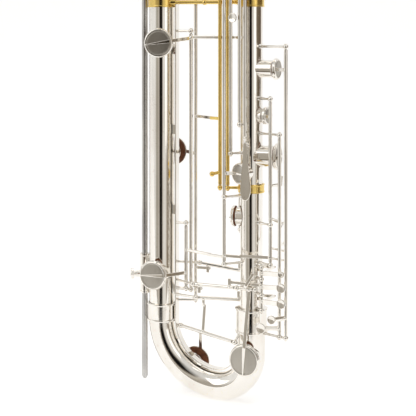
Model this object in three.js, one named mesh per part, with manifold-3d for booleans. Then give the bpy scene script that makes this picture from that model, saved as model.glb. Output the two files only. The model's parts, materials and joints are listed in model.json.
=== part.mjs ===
// Contrabass clarinet: a folded metal body with a bell, a crook and sprung keywork.
// Millimetres, +Z up. The bell tube stands at -X and the main tube at +X, the keys' front is -Y.
// The origin is the lowest point of the bottom bow, where a stand carries the instrument.

import * as THREE from 'three';
import { mergeVertices } from 'three/addons/utils/BufferGeometryUtils.js';
import Module from 'manifold-3d';

const wasm = await Module();
wasm.setup();

// Clearances
const seatGap = 0.3;
const linkGap = 0.8;
const bite = 0.6;
const weldDistance = 0.0005;

// Body tubes
const bowLeftRadius = 87;
const bowRightRadius = 47.5;
const bowExitRadius = 18.3;
const bowEntryRadius = 19.6;
const bellTubeRadius = 18;
const mainTubeRadius = 15.8;
const bellTubeTop = 860;
const mainTubeTop = 1060;
const tubeSides = 20;

// Rings at the tube ends
const ringWall = 1.8;
const ringBead = 1.2;
const ringBeadHeight = 2.4;
const leftRingBottom = 102;
const leftRingTop = 127;
const rightRingBottom = 98;
const rightRingTop = 131;
const upperRingHalf = 13;

// Tone holes: turn is in degrees from the front, -Y, towards +X
const chimneyRise = { main: 5, bell: 8, side: 18, bow: 6 };
const chimneyWall = 1.6;
const chimneyShare = 0.8;
const chimneyRootShare = 0.2;
const cupRadius = { bell: 20.5, bow: 22, side: 18.4, stack: 15, small: 12.5, vent: 8 };
const bowHoleAngle = 54;
const holeHeight = {
  lowA: 495, lowB: 338, lowC: 170, lowE: 66, sideF: 340, sideG: 460, stackH: 318, stackI: 256,
  stackJ: 645, linkK: 604, goldL: 692, spatP: 572, ringQ: 396, upperN: 712, register: 1000,
};
const holeTurn = {
  lowA: 14, lowB: 178, lowC: -2, lowE: 0, sideF: 93, sideG: 88, stackH: -20, stackI: -84,
  stackJ: 4, linkK: 40, goldL: -15, spatP: 60, ringQ: 80, upperN: 95, register: 4,
};

// Upright hinge lines: across is counted from the tube's axis, depth from the middle plane
const bellLine = {
  lowA: { across: 44.5, depth: 0 },
  lowB: { across: 46.7, depth: 12 },
  lowC: { across: 38.6, depth: -4 },
};
const mainLine = {
  lever: { across: -28.7, depth: -30 },
  rear: { across: -25.5, depth: 24 },
  vent: { across: -21.5, depth: -24 },
  linkK: { across: -8.2, depth: -24.4 },
  spatula: { across: -0.2, depth: -24.4 },
  goldG: { across: -40.8, depth: -14 },
  goldL: { across: -29.5, depth: -14 },
  touch: { across: 22.5, depth: -22 },
  loop: { across: 34.5, depth: -20 },
  sideF: { across: 47.5, depth: -20 },
  sideG: { across: 57, depth: -22 },
};
const hingeBottom = {
  lowA: 148, lowB: 131, lowC: 150, linkC: 194.5, stackJ: 344.8, register: 764, linkK: 385,
  spatP: 356, gold: 296, touchB: 134, touchA: 155, touchC: 176, loop: 196, ring: 250, side: 100, upperN: 634,
};
const hingeTop = { lowB: 640, lowC: 241.7, stackH: 740, goldG: 800, goldL: 730, touchC: 192 };
const hingePast = {
  lowA: 16.5, stackH: 32, stackI: 24, stackJ: 23, register: 20, linkK: 18, spatP: 14, ring: 24, sideF: 32,
  sideG: 31, upperN: 48,
};

// Cross bars: near is the bell tube's end and far is the main tube's
const barHeight = { a: 161.5, b: 185, bFar: 174, d: 140.5, dFar: 135 };
const barNearAcross = { a: 56, b: 55, d: 57 };
const barNearDepth = { b: 8, d: -11 };
const barFront = -22;
const barBack = 22;
const barFrontInset = 13.5;
const barBackInset = 8;
const lowDFoot = { across: -15, depth: -26, height: 88.2 };
const lowDHead = { across: 29, depth: 0, height: 96 };

// Posts, hinge tubes and arms
const hingeRadius = 2.6;
const hingeSides = 8;
const rodSides = 6;
const postSides = 7;
const pivotRadius = 1.4;
const pivotDepth = 2.6;
const pivotRootShare = 0.92;
const ballRadius = 3.7;
const postRadius = 1.9;
const armWidth = 5.2;
const thinArm = 4.4;
const leafWidth = 6.8;
const armThickness = 2.2;
const slip = armThickness + linkGap;

// Cups and pads
const ribHeight = 1.5;
const ribStartShare = 0.8;
const ribEndShare = 0.9;
const ribTipShare = 0.3;
const cupWall = 1;
const cupDepth = 4.6;
const cupBevel = 1.1;
const padProud = 1.3;
const cupSides = 18;
const chimneySides = 14;
const cupHubHeight = { lowA: 501.6, lowC: 172 };
const cupHubAcross = { lowD: 62.7, lowE: 4.8 };

// Where keys meet: the arms' heights and how far they reach
const fingerNearAcross = 66;
const fingerFarAcross = -24;
const fingerLength = 12;
const fingerOverlap = 3;
const footDrop = 6.5;
const meetA = { height: 503, lowBend: 75, lowEnd: 88, linkEnd: 81, depth: -6.5, elbow: 16 };
const meetB = { height: 391, lowReach: 14, lowDepth: 7.4, goldReach: 17, goldDepth: 5.6 };
const meetC = {
  height: 204, touchHeight: 206, lowEnd: 83, lowDepth: 9, linkEnd: 79, linkDepth: 7, rightEnd: 4, touchEnd: 8,
};
const meetD = { across: 67, drop: 10.5 };
const roundBackAcross = 2;
const roundBackDepth = 5;

// Finger plates, counted from their hinge lines
const touchDisc = 6.5;
const leafPlace = {
  touchA: { height: 166, across: 32.5, depth: -14, rise: 4, radius: touchDisc },
  touchB: { height: 146, across: 32.5, depth: -14, rise: 3, radius: touchDisc },
  touchC: { height: 184.5, across: 32.5, depth: -14, rise: 3.5, radius: 4.5 },
  stackH: { height: 585, across: 13, depth: -8, rise: 0, radius: touchDisc },
  stackI: { height: 262, across: 16, depth: 10, rise: 0, radius: touchDisc },
  stackJ: { height: 530, across: 10, depth: -12, rise: 0, radius: touchDisc },
  goldG: { height: 784, across: -15, depth: -12, rise: 0, radius: touchDisc },
  goldL: { height: 640, across: -16, depth: -18, rise: 0, radius: touchDisc },
  register: { height: 800, across: -14, depth: -10, rise: 0, radius: touchDisc },
  sideF: { height: 112, across: -22, depth: -13, rise: 1, radius: 7 },
  sideG: { height: 127, across: -15, depth: -15, rise: 0, radius: 6 },
  upperN: { height: 662, across: -15, depth: -14, rise: 0, radius: touchDisc },
};
const leafE = { start: 2, across: 13, depth: 7, height: 184, elbowAcross: 1, elbowDepth: 6.5, elbowRise: 3.5 };
const goldHook = { height: 317, across: -9, depth: -7, drop: 2 };
const loopTouch = { width: 17.5, lean: 2, depth: 11, bottom: 205.5, dip: 4.5, inner: 8.5, top: 219, wire: 1.7 };
const ringTouch = { radius: 14.5, wire: 1.8, across: 10, depth: 24, height: 235, hanger: 259, hangerDepth: 3 };
const ringHook = { height: 303, across: 9, depth: 17, lean: 2, sink: 2, rise: 12 };
const drop = { length: 78, top: 362, width: 15, across: 5.5, depth: 14.4 };
const dropEdge = [[0, 0.14], [0.3, 0.24], [0.62, 0.42], [0.84, 0.5], [0.95, 0.36], [1, 0.12]];

// How far a key stands open at rest, in degrees
const openLift = { lowB: 9, lowD: 7, stack: 8 };

// Post strap along the bell tube and the inside of the bow
const strapWidth = 12;
const strapThickness = 2;
const strapStandoff = 5;
const strapTop = 838;
const strapFootLength = 14;
const strapFootPitch = 118;
const strapEndAngle = 38;
const strapBowFootShares = [0.3, 0.72];

// Collars, brace and rests
const collarWall = 2.3;
const collarHalf = 6;
const braceHeight = 552;
const braceHalf = 7;
const braceRod = 3;
const braceStart = { across: 16.5, depth: -10.8 };
const braceEnd = { across: -17, depth: 3 };
const saddle = { width: 12, thickness: 2.4, length: 30 };
const thumb = {
  height: 470, rise: 4, reach: 22, width: 14, tipWidth: 16, thickness: 2.6, hookReach: 25, hookDrop: 9, hookWidth: 12,
};
const strapEye = { height: 770, radius: 8, wire: 1.8, standoff: 11 };

// Bell
const bellWall = 1.5;
const bellStraight = 60;
const bellBendRadius = 170;
const bellBendTurn = 40;
const bellFlare = 90;
const bellMouth = 90;
const bellSides = 28;
const bellFlareShares = [[0.22, 0.36], [0.44, 0.46], [0.64, 0.58], [0.8, 0.72], [0.92, 0.87], [1, 1]];

// Top bow and crook
const topBowRadius = 30;
const topBowLeg = 105;
const topRingProud = 1;
const neckRadius = 12.5;
const neckTipRadius = 10.5;
const neckTurnRadius = 55;
const neckTurn = 115;
const neckStart = 26;
const neckEnd = 52;
const socketWall = 3;
const socketLip = 2;
const socketAbove = 20;
const socketBelow = 24;
const socketShoulder = 6;
const corkRadius = 12.4;
const corkLength = 24;
const corkInset = 2;

// Thumb screws: reach is the clear shank, from the tip to the knob
const neckKnob = {
  drop: 14, reach: 9, shank: 2, knob: 7, height: 5, bore: 2.3, boss: 4.5, bossStart: 1, bossEnd: 8, boreEnd: 12,
};
const pinKnob = {
  reach: 10.5, shank: 2.4, knob: 8, height: 5, bore: 2.8, boss: 5, bossStart: 1, bossEnd: 9, boreEnd: 14,
};
const pinKnobWay = [-17, -10, 0];
const pinKnobHeight = 165;
const knobSides = 14;

// Mouthpiece, reed and ligature, measured from the shank's end
const mouthLength = 108;
const mouthRadius = 16.5;
const mouthShares = [[0.94, 0], [1, 0.02], [1, 0.09], [0.91, 0.12], [0.945, 0.56], [0.88, 1]];
const mouthSocket = 26;
const mouthBore = 8;
const mouthBoreEnd = 12;
const mouthOnCork = 22;
const mouthTable = 11;
const tableStart = 38;
const beakStart = 52;
const beakRoot = -20;
const beakTip = 9;
const windowWidth = 11;
const windowDepth = 12;
const windowLength = 44;
const windowMiddle = 80;
const mouthSides = 24;
const reedWidth = 15;
const reedStart = 40;
const reedHeel = 2.8;
const reedBark = 2.6;
const reedVamp = 80;
const reedTip = 0.5;
const reedTipInset = 1;
const bandRadius = 16.3;
const bandWall = 1.2;
const bandStart = 45;
const bandEnd = 71;
const bandBoss = { width: 10, depth: 6, length: 22, standoff: 3.4, middle: 58 };
const bandScrew = {
  first: 50, second: 66, start: -8, end: 11, standoff: 3.6, shank: 1.6, bore: 1.9, knob: 4.6, knobStart: 9, knobEnd: 14,
};

// Floor pin
const pinRadius = 4.4;
const pinAcross = 27;
const pinBottom = 15.3;
const pinTop = 700;
const pinSleeveWall = 2.6;
const pinWebSink = 1;
const pinWebDepth = 9;
const pinWebShare = 0.7;
const pinSocket = { bottom: 138, top: 194 };
const pinGuideSpan = { bottom: 610, top: 634 };
const pinSides = 14;

const bellTubeX = -bowLeftRadius;
const mainTubeX = bowRightRadius;
const bowLeftRise = bowExitRadius + bowLeftRadius;
const bowRightLeg = bowLeftRadius - bowRightRadius;
const bodyGapHeight = bowLeftRise + seatGap;
const strapOffset = bellTubeRadius + strapStandoff;
const strapX = bellTubeX + strapOffset;
const nearFinger = bellTubeX + fingerNearAcross;
const farFinger = mainTubeX + fingerFarAcross;
const pinX = bellTubeX - pinAcross;

// Colours
const metals = {
  silver: { color: 0xd6d0c6, metalness: 1, roughness: 0.18 },
  gold: { color: 0xd2ab34, metalness: 1, roughness: 0.25 },
  steel: { color: 0x8c8a86, metalness: 1, roughness: 0.3 },
  leather: { color: 0x74341a, metalness: 0, roughness: 0.75 },
  cork: { color: 0xb98a55, metalness: 0, roughness: 0.9 },
  cane: { color: 0xdcc68a, metalness: 0, roughness: 0.6 },
  ebonite: { color: 0x17171a, metalness: 0, roughness: 0.3 },
};

const part = new THREE.Group();
const point = (x, y, z) => new THREE.Vector3(x, y, z);
const radians = (degrees) => THREE.MathUtils.degToRad(degrees);
const up = point(0, 0, 1);
const down = point(0, 0, -1);
const front = point(0, -1, 0);
const back = point(0, 1, 0);
const right = point(1, 0, 0);

// Joining and cutting

function toSolid(geometry) {
  const bare = geometry.clone();
  for (const name of Object.keys(bare.attributes)) {
    if (name !== 'position') bare.deleteAttribute(name);
  }
  const welded = mergeVertices(bare, weldDistance);
  const corners = welded.attributes.position.array;
  const faces = [];
  let sixVolumes = 0;
  const at = (i) => new THREE.Vector3().fromArray(corners, 3 * i);
  for (let i = 0; i < welded.index.count; i += 3) {
    const [a, b, c] = [welded.index.array[i], welded.index.array[i + 1], welded.index.array[i + 2]];
    if (a === b || b === c || a === c) continue;
    faces.push([a, b, c]);
    sixVolumes += at(a).dot(at(b).cross(at(c)));
  }
  const triVerts = new Uint32Array(faces.flatMap((face) => (sixVolumes < 0 ? face.reverse() : face)));
  const vertProperties = new Float32Array(corners);
  return new wasm.Manifold(new wasm.Mesh({ numProp: 3, vertProperties, triVerts }));
}

function toGeometry(solid) {
  const mesh = solid.getMesh();
  const geometry = new THREE.BufferGeometry();
  geometry.setAttribute('position', new THREE.BufferAttribute(Float32Array.from(mesh.vertProperties), 3));
  geometry.setIndex(new THREE.BufferAttribute(Uint32Array.from(mesh.triVerts), 1));
  geometry.computeVertexNormals();
  return geometry;
}

function fuse(...geometries) {
  const [first, ...rest] = geometries.flat().map(toSolid);
  return toGeometry(rest.reduce((whole, next) => whole.add(next), first));
}

function cut(geometry, ...tools) {
  return toGeometry(tools.flat().map(toSolid).reduce((left, tool) => left.subtract(tool), toSolid(geometry)));
}

// Basic forms

function aim(geometry, from, direction) {
  const turn = new THREE.Quaternion().setFromUnitVectors(up, direction.clone().normalize());
  return geometry.applyQuaternion(turn).translate(from.x, from.y, from.z);
}

function revolve(profile, sides = hingeSides) {
  const outline = profile.map(([radius, height]) => new THREE.Vector2(radius, height));
  return new THREE.LatheGeometry(outline, sides).rotateX(Math.PI / 2);
}

// A sleeve with the given bore and skin between two heights.
function pipe(bore, skin, bottom, top, sides = tubeSides) {
  return revolve([[bore, bottom], [skin, bottom], [skin, top], [bore, top], [bore, bottom]], sides);
}

function rod(from, to, radius, sides = rodSides, endRadius = radius) {
  const along = to.clone().sub(from);
  const length = along.length();
  return aim(revolve([[0, 0], [radius, 0], [endRadius, length], [0, length]], sides), from, along);
}

function ball(centre, radius = ballRadius) {
  return new THREE.SphereGeometry(radius, 7, 5).rotateX(Math.PI / 2).translate(centre.x, centre.y, centre.z);
}

function box(width, depth, height, centre) {
  return new THREE.BoxGeometry(width, depth, height).translate(centre.x, centre.y, centre.z);
}

function shapeOf(outline) {
  return new THREE.Shape(outline.map(([x, y]) => new THREE.Vector2(x, y)));
}

function extrude(outline, thickness) {
  const options = { depth: thickness, bevelEnabled: false };
  return new THREE.ExtrudeGeometry(shapeOf(outline), options).translate(0, 0, -thickness / 2);
}

// A flat arm from one point to another that tapers in width; its flat side looks along face.
function blade(from, to, startWidth, endWidth, thickness, face) {
  const along = to.clone().sub(from);
  const length = along.length();
  const outline = [[0, -startWidth / 2], [length, -endWidth / 2], [length, endWidth / 2], [0, startWidth / 2]];
  return lay(extrude(outline, thickness), from, along, face);
}

// Lays a geometry with its X along one direction and its Z as near as can be to another.
function lay(geometry, from, along, face) {
  const x = along.clone().normalize();
  const z = face.clone().addScaledVector(x, -face.dot(x)).normalize();
  const y = z.clone().cross(x);
  const frame = new THREE.Matrix4().makeBasis(x, y, z).setPosition(from);
  return geometry.applyMatrix4(frame);
}

// A path of straights and arcs in a plane, followed by its length.
function route(start, across, ahead, moves) {
  const pieces = [];
  let place = start.clone();
  let heading = ahead.clone();
  let side = across.clone();
  let begin = 0;
  for (const move of moves) {
    const length = move.radius ? move.radius * radians(Math.abs(move.turn)) : move.length;
    pieces.push({ ...move, begin, length, place: place.clone(), heading: heading.clone(), side: side.clone() });
    ({ place, heading, side } = follow(pieces.at(-1), begin + length));
    begin += length;
  }
  return { length: begin, at: (s) => follow(pieces.findLast((piece) => s >= piece.begin) ?? pieces[0], s) };
}

function follow({ begin, place, heading, side, radius, turn }, s) {
  const run = s - begin;
  if (!radius) return { place: place.clone().addScaledVector(heading, run), heading, side };
  const sign = Math.sign(turn);
  const mix = (a, share, b, other) => a.clone().multiplyScalar(share).addScaledVector(b, other);
  const [cosine, sine] = [Math.cos(run / radius), Math.sin(run / radius)];
  const centre = place.clone().addScaledVector(side, sign * radius);
  const outward = mix(side, -sign * cosine, heading, sine);
  return {
    place: centre.addScaledVector(outward, radius),
    heading: mix(heading, cosine, side, sign * sine),
    side: mix(side, cosine, heading, -sign * sine),
  };
}

// Bends a shape that stands along Z so that its axis follows a path.
function bend(geometry, path) {
  const spots = geometry.attributes.position;
  for (let i = 0; i < spots.count; i += 1) {
    const { place, heading, side } = path.at(spots.getZ(i));
    const third = heading.clone().cross(side);
    place.addScaledVector(side, spots.getX(i)).addScaledVector(third, spots.getY(i));
    spots.setXYZ(i, place.x, place.y, place.z);
  }
  return geometry;
}

// Heights where a bent shape needs a ring of its own.
function ringHeights(from, to, count) {
  return Array.from({ length: count + 1 }, (_, i) => from + ((to - from) * i) / count);
}

function add(name, geometry, metal, pivot) {
  const mesh = new THREE.Mesh(geometry, new THREE.MeshStandardMaterial(metals[metal]));
  mesh.name = name;
  if (!pivot) {
    part.add(mesh);
    return;
  }
  geometry.translate(-pivot.place.x, -pivot.place.y, -pivot.place.z);
  const holder = new THREE.Group();
  holder.position.copy(pivot.place);
  holder.quaternion.setFromAxisAngle(pivot.axis.clone().normalize(), radians(pivot.turn));
  holder.add(mesh);
  part.add(holder);
}

// Tone holes: each chimney and the cup over it read the same record

const mainRim = mainTubeRadius + chimneyRise.main;
const bellRim = bellTubeRadius + chimneyRise.bell;
const sideRim = mainTubeRadius + chimneyRise.side;
const bowRim = bowEntryRadius + chimneyRise.bow;

// axis is the point on the tube's axis, out the way the hole looks, reach the rim's distance.
function holeOn(axis, out, reach, radius) {
  return { axis, out, reach, radius, rim: axis.clone().addScaledVector(out, reach) };
}

function tubeHole(name, tubeX, reach, radius) {
  const turn = radians(holeTurn[name]);
  return holeOn(point(tubeX, 0, holeHeight[name]), point(Math.sin(turn), -Math.cos(turn), 0), reach, radius);
}

// The hole through the back of the bow, at an angle below the bell tube's end of it.
function bowHole() {
  const x = -bowLeftRadius * Math.cos(radians(bowHoleAngle));
  const z = bowExitRadius + bowLeftRadius * (1 - Math.sin(radians(bowHoleAngle)));
  return holeOn(point(x, 0, z), back.clone(), bowRim, cupRadius.bell);
}

const holes = {
  lowA: tubeHole('lowA', bellTubeX, bellRim, cupRadius.bell),
  lowB: tubeHole('lowB', bellTubeX, bellRim, cupRadius.bell),
  lowC: tubeHole('lowC', bellTubeX, bellRim, cupRadius.bell),
  lowD: bowHole(),
  lowE: tubeHole('lowE', mainTubeX, bowRim, cupRadius.bow),
  sideF: tubeHole('sideF', mainTubeX, sideRim, cupRadius.side),
  sideG: tubeHole('sideG', mainTubeX, sideRim, cupRadius.stack),
  stackH: tubeHole('stackH', mainTubeX, mainRim, cupRadius.stack),
  stackI: tubeHole('stackI', mainTubeX, mainRim, cupRadius.stack),
  stackJ: tubeHole('stackJ', mainTubeX, mainRim, cupRadius.stack),
  linkK: tubeHole('linkK', mainTubeX, mainRim, cupRadius.stack),
  goldL: tubeHole('goldL', mainTubeX, mainRim, cupRadius.stack),
  spatP: tubeHole('spatP', mainTubeX, mainRim, cupRadius.small),
  ringQ: tubeHole('ringQ', mainTubeX, mainRim, cupRadius.small),
  upperN: tubeHole('upperN', mainTubeX, sideRim, cupRadius.stack),
  register: tubeHole('register', mainTubeX, mainRim, cupRadius.vent),
};

function chimneys(...names) {
  return names.map((name) => {
    const { axis, out, reach, radius } = holes[name];
    const skin = radius * chimneyShare;
    return aim(pipe(skin - chimneyWall, skin, reach * chimneyRootShare, reach, chimneySides), axis, out);
  });
}

// Hinge lines, each from ball to ball

const upright = (tubeX, { across, depth }, bottom, top) => ({
  from: point(tubeX + across, depth, bottom),
  to: point(tubeX + across, depth, top),
});
const onBell = (name, bottom, top) => upright(bellTubeX, bellLine[name], bottom, top);
const onMain = (line, bottom, top) => upright(mainTubeX, mainLine[line], bottom, top);
const past = (name, hole = name) => holeHeight[hole] + hingePast[name];
const below = (name) => holeHeight[name] - hingePast[name];
const barFrom = (inset, depth, height) => point(mainTubeX - inset, depth, height);
const barTo = (name, depth) => point(bellTubeX + barNearAcross[name], depth, barHeight[name]);

const hinges = {
  lowA: onBell('lowA', hingeBottom.lowA, past('lowA')),
  lowB: onBell('lowB', hingeBottom.lowB, hingeTop.lowB),
  lowC: onBell('lowC', hingeBottom.lowC, hingeTop.lowC),
  linkC: onMain('lever', hingeBottom.linkC, below('stackH')),
  stackH: onMain('lever', below('stackH'), hingeTop.stackH),
  stackI: onMain('rear', below('stackI'), past('stackI')),
  stackJ: onMain('vent', hingeBottom.stackJ, past('stackJ')),
  register: onMain('vent', hingeBottom.register, past('register')),
  linkK: onMain('linkK', hingeBottom.linkK, past('linkK')),
  spatP: onMain('spatula', hingeBottom.spatP, past('spatP')),
  goldG: onMain('goldG', hingeBottom.gold, hingeTop.goldG),
  goldL: onMain('goldL', hingeBottom.gold, hingeTop.goldL),
  touchB: onMain('touch', hingeBottom.touchB, hingeBottom.touchA),
  touchA: onMain('touch', hingeBottom.touchA, hingeBottom.touchC),
  touchC: onMain('touch', hingeBottom.touchC, hingeTop.touchC),
  loop: onMain('loop', hingeBottom.loop, hingeBottom.ring),
  ring: onMain('loop', hingeBottom.ring, past('ring', 'ringQ')),
  sideF: onMain('sideF', hingeBottom.side, past('sideF')),
  sideG: onMain('sideG', hingeBottom.side, past('sideG')),
  upperN: onMain('sideF', hingeBottom.upperN, past('upperN')),
  barA: { from: barFrom(barFrontInset, barFront, barHeight.a), to: barTo('a', barFront) },
  barB: { from: barFrom(barBackInset, barBack, barHeight.bFar), to: barTo('b', barNearDepth.b) },
  barD: { from: barFrom(barBackInset, barBack, barHeight.dFar), to: barTo('d', barNearDepth.d) },
  lowE: {
    from: barFrom(-barFrontInset, barFront, barHeight.a),
    to: barFrom(barFrontInset, barFront, barHeight.a),
  },
  lowD: {
    from: point(mainTubeX + lowDFoot.across, lowDFoot.depth, lowDFoot.height),
    to: point(bellTubeX + lowDHead.across, lowDHead.depth, lowDHead.height),
  },
};

const inward = (hinge) => hinge.to.clone().sub(hinge.from);
const outward = (hinge) => hinge.from.clone().sub(hinge.to);

// The point of a hinge line at a given height, or at a given x.
const atHeight = ({ from, to }, height) => from.clone().lerp(to, (height - from.z) / (to.z - from.z));
const atX = ({ from, to }, x) => from.clone().lerp(to, (x - from.x) / (to.x - from.x));

// Posts

// A post from its foot to a ball. A point screw stands out of the ball along each given way;
// where there are two, they lie on one line.
function post(foot, centre, ways) {
  const shoulder = ballRadius * Math.SQRT1_2;
  const screw = [[0, ballRadius + pivotDepth], [pivotRadius, ballRadius * pivotRootShare]];
  const blank = [[0, ballRadius]];
  const half = (profile) => [...profile, [shoulder, shoulder]];
  const mirror = (profile) => profile.map(([radius, height]) => [radius, -height]).toReversed();
  const far = mirror(half(ways.length > 1 ? screw : blank));
  const head = revolve([...half(screw), [ballRadius, 0], ...far], postSides);
  return [rod(foot, centre, postRadius), aim(head, centre, ways[0])];
}

// A post that leaves an upright tube at the ball's own height.
function tubePost(tubeX, wall, centre, ...ways) {
  const out = point(centre.x - tubeX, centre.y, 0).normalize();
  return post(point(tubeX, 0, centre.z).addScaledVector(out, wall), centre, ways);
}

function mainPost(centre, ...ways) {
  return tubePost(mainTubeX, mainTubeRadius - bite, centre, ...ways);
}

// Posts for a run of hinges that share one line, lowest hinge first.
function mainPosts(...names) {
  const run = names.map((name) => hinges[name]);
  const middle = run.slice(1).flatMap((hinge) => mainPost(hinge.from, inward(hinge), outward(hinge)));
  return [...mainPost(run[0].from, inward(run[0])), ...middle, ...mainPost(run.at(-1).to, outward(run.at(-1)))];
}

// Body tubes

function solidTube(tubeX, radius, bottom, top) {
  return revolve([[0, bottom], [radius, bottom], [radius, top], [0, top]], tubeSides).translate(tubeX, 0, 0);
}

function buildTubes() {
  const { barA, barB, barD, lowE, sideF, sideG, goldG, goldL } = hinges;
  const mainHoles = chimneys('sideF', 'sideG', 'stackH', 'stackI', 'stackJ', 'linkK', 'goldL', 'spatP', 'ringQ',
    'upperN', 'register');
  const posts = [
    mainPosts('linkC', 'stackH'), mainPosts('stackI'), mainPosts('stackJ'), mainPosts('register'),
    mainPosts('linkK'), mainPosts('spatP'), mainPosts('touchB', 'touchA', 'touchC'), mainPosts('loop', 'ring'),
    mainPosts('upperN'), mainPost(sideF.to, down), mainPost(sideG.to, down), mainPost(goldG.to, down),
    mainPost(goldL.to, down), mainPost(barA.from, inward(barA), outward(lowE)), mainPost(lowE.from, inward(lowE)),
    mainPost(barB.from, inward(barB)), mainPost(barD.from, inward(barD)),
  ];
  const main = solidTube(mainTubeX, mainTubeRadius, bodyGapHeight, mainTubeTop);
  add('main_tube', fuse(main, ...mainHoles, ...posts.flat()), 'silver');
  const bell = solidTube(bellTubeX, bellTubeRadius, bodyGapHeight, bellTubeTop);
  add('bell_tube', fuse(bell, ...chimneys('lowA', 'lowB', 'lowC')), 'silver');
}

const bowPath = route(point(bellTubeX, 0, bowLeftRise), right, down, [
  { radius: bowLeftRadius, turn: 90 },
  { radius: bowRightRadius, turn: 90 },
  { length: bowRightLeg },
]);

function buildBow() {
  const leftArc = bowLeftRadius * radians(90);
  const bothArcs = leftArc + bowRightRadius * radians(90);
  const rings = [...ringHeights(0, leftArc, 12), ...ringHeights(leftArc, bothArcs, 9).slice(1)];
  const widen = (bowEntryRadius - bowExitRadius) / bowPath.length;
  const wall = [...rings, bowPath.length].map((s) => [bowExitRadius + widen * s, s]);
  const bow = bend(revolve([[0, 0], ...wall, [0, bowPath.length]], tubeSides), bowPath);
  add('bottom_bow', fuse(bow, ...chimneys('lowD', 'lowE')), 'silver');
}

// A sleeve round a tube joint, with a raised bead at each end.
function ringSleeve(tubeX, inner, bottom, top) {
  const outer = inner + ringWall;
  const bead = outer + ringBead;
  const low = bottom + ringBeadHeight;
  const high = top - ringBeadHeight;
  return revolve([[inner, bottom], [bead, bottom], [bead, low], [outer, low], [outer, high], [bead, high],
    [bead, top], [inner, top], [inner, bottom]], tubeSides).translate(tubeX, 0, 0);
}

function buildRings() {
  const { sideF, sideG, lowD } = hinges;
  const leftSleeve = ringSleeve(bellTubeX, bowExitRadius + seatGap, leftRingBottom, leftRingTop);
  add('bow_ring_left', leftSleeve, 'silver');
  const inner = bowEntryRadius + seatGap;
  const ringPost = (centre, ...ways) => tubePost(mainTubeX, inner + bite, centre, ...ways);
  const root = point(mainTubeX, 0, rightRingBottom + ringBeadHeight);
  const out = point(lowD.from.x - mainTubeX, lowD.from.y, 0).normalize();
  const stem = rod(root.addScaledVector(out, inner + ringWall / 2), lowD.from, postRadius);
  const lowPost = post(lowD.from.clone().addScaledVector(up, bite), lowD.from, [inward(lowD)]);
  add('bow_ring_right', fuse(ringSleeve(mainTubeX, inner, rightRingBottom, rightRingTop), stem, ...lowPost,
    ...ringPost(sideF.from, up), ...ringPost(sideG.from, up)), 'silver');
}

// Post strap

const strapPath = route(point(strapX, 0, strapTop), right, down, [
  { length: strapTop - bowLeftRise },
  { radius: bowLeftRadius - strapOffset, turn: 90 },
  { radius: bowRightRadius - strapOffset, turn: 90 },
]);

// A length of the flat bar; its width runs along Y.
function strapLength(from, to, count) {
  const [halfThick, halfWide] = [strapThickness / 2, strapWidth / 2];
  const section = shapeOf([[-halfThick, -halfWide], [halfThick, -halfWide], [halfThick, halfWide],
    [-halfThick, halfWide]]);
  const bar = new THREE.ExtrudeGeometry(section, { depth: to - from, steps: count, bevelEnabled: false });
  return bend(bar.translate(0, 0, from), strapPath);
}

function strapFoot(s, wall = bellTubeRadius, length = strapFootLength) {
  const { place, heading, side } = strapPath.at(s);
  const reach = strapOffset - wall - 1.5 * seatGap;
  const block = new THREE.BoxGeometry(length, strapWidth, reach);
  return lay(block, place.clone().addScaledVector(side, -reach / 2), heading, side);
}

function strapPost(centre, ...ways) {
  const spare = strapWidth / 2 - postRadius;
  const foot = point(strapX, THREE.MathUtils.clamp(centre.y, -spare, spare), centre.z);
  return post(foot, centre, ways);
}

function buildStrap() {
  const { lowA, lowB, lowC, barA, barB, barD, lowD } = hinges;
  const straight = strapTop - bowLeftRise;
  const bowTurn = (bowLeftRadius - strapOffset) * radians(90);
  const end = straight + bowTurn + (bowRightRadius - strapOffset) * radians(strapEndAngle);
  const feet = ringHeights(strapFootLength, straight - 3 * strapFootLength, Math.round(straight / strapFootPitch));
  const bowFeet = strapBowFootShares.map((share) => strapFoot(straight + bowTurn * share, bowEntryRadius,
    strapFootLength / 2));
  const standing = [lowA, lowB, lowC].flatMap(({ from, to }) => [...strapPost(from, up), ...strapPost(to, down)]);
  const ends = [barA, barB, barD, lowD].flatMap((hinge) => strapPost(hinge.to, outward(hinge)));
  add('bell_rib', fuse(strapLength(0, straight + bite, 1), strapLength(straight, end, 14),
    ...feet.map((s) => strapFoot(s)), ...bowFeet, ...standing, ...ends), 'silver');
}

// Keys

// A hinge tube between two balls, with a conical seat for a point screw in each end.
function hingeTube({ from, to }) {
  const along = to.clone().sub(from);
  const start = ballRadius + seatGap;
  const end = along.length() - start;
  const mouth = pivotRadius + seatGap;
  const deep = pivotDepth + seatGap;
  const tube = [[0, start + deep], [mouth, start], [hingeRadius, start], [hingeRadius, end], [mouth, end],
    [0, end - deep]];
  return aim(revolve(tube), from, along);
}

const cupTop = seatGap + padProud + cupDepth;
const cupCeiling = cupTop - cupWall;
const padInset = cupWall + seatGap;

function cupDisc({ rim, out, radius }, solidPad) {
  const padRadius = radius - padInset;
  const lip = seatGap + padProud;
  const under = solidPad ? [[0, seatGap], [padRadius, seatGap], [padRadius, lip]] : [[0, lip]];
  const profile = [...under, [radius, lip], [radius, cupTop - cupBevel], [radius - cupBevel, cupTop], [0, cupTop]];
  return aim(revolve(profile, cupSides), rim, out);
}

function cupPocket({ rim, out, radius }) {
  const bore = radius - cupWall;
  const profile = [[0, -padProud], [bore, -padProud], [bore, cupCeiling], [0, cupCeiling]];
  return aim(revolve(profile, cupSides), rim, out);
}

function padDisc({ rim, out, radius }) {
  const padRadius = radius - padInset;
  const round = padProud / 2;
  const top = cupCeiling - seatGap;
  const edge = [[padRadius - round, seatGap], [padRadius, seatGap + round], [padRadius, top]];
  return aim(revolve([[0, seatGap], ...edge, [0, top]], cupSides), rim, out);
}

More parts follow.
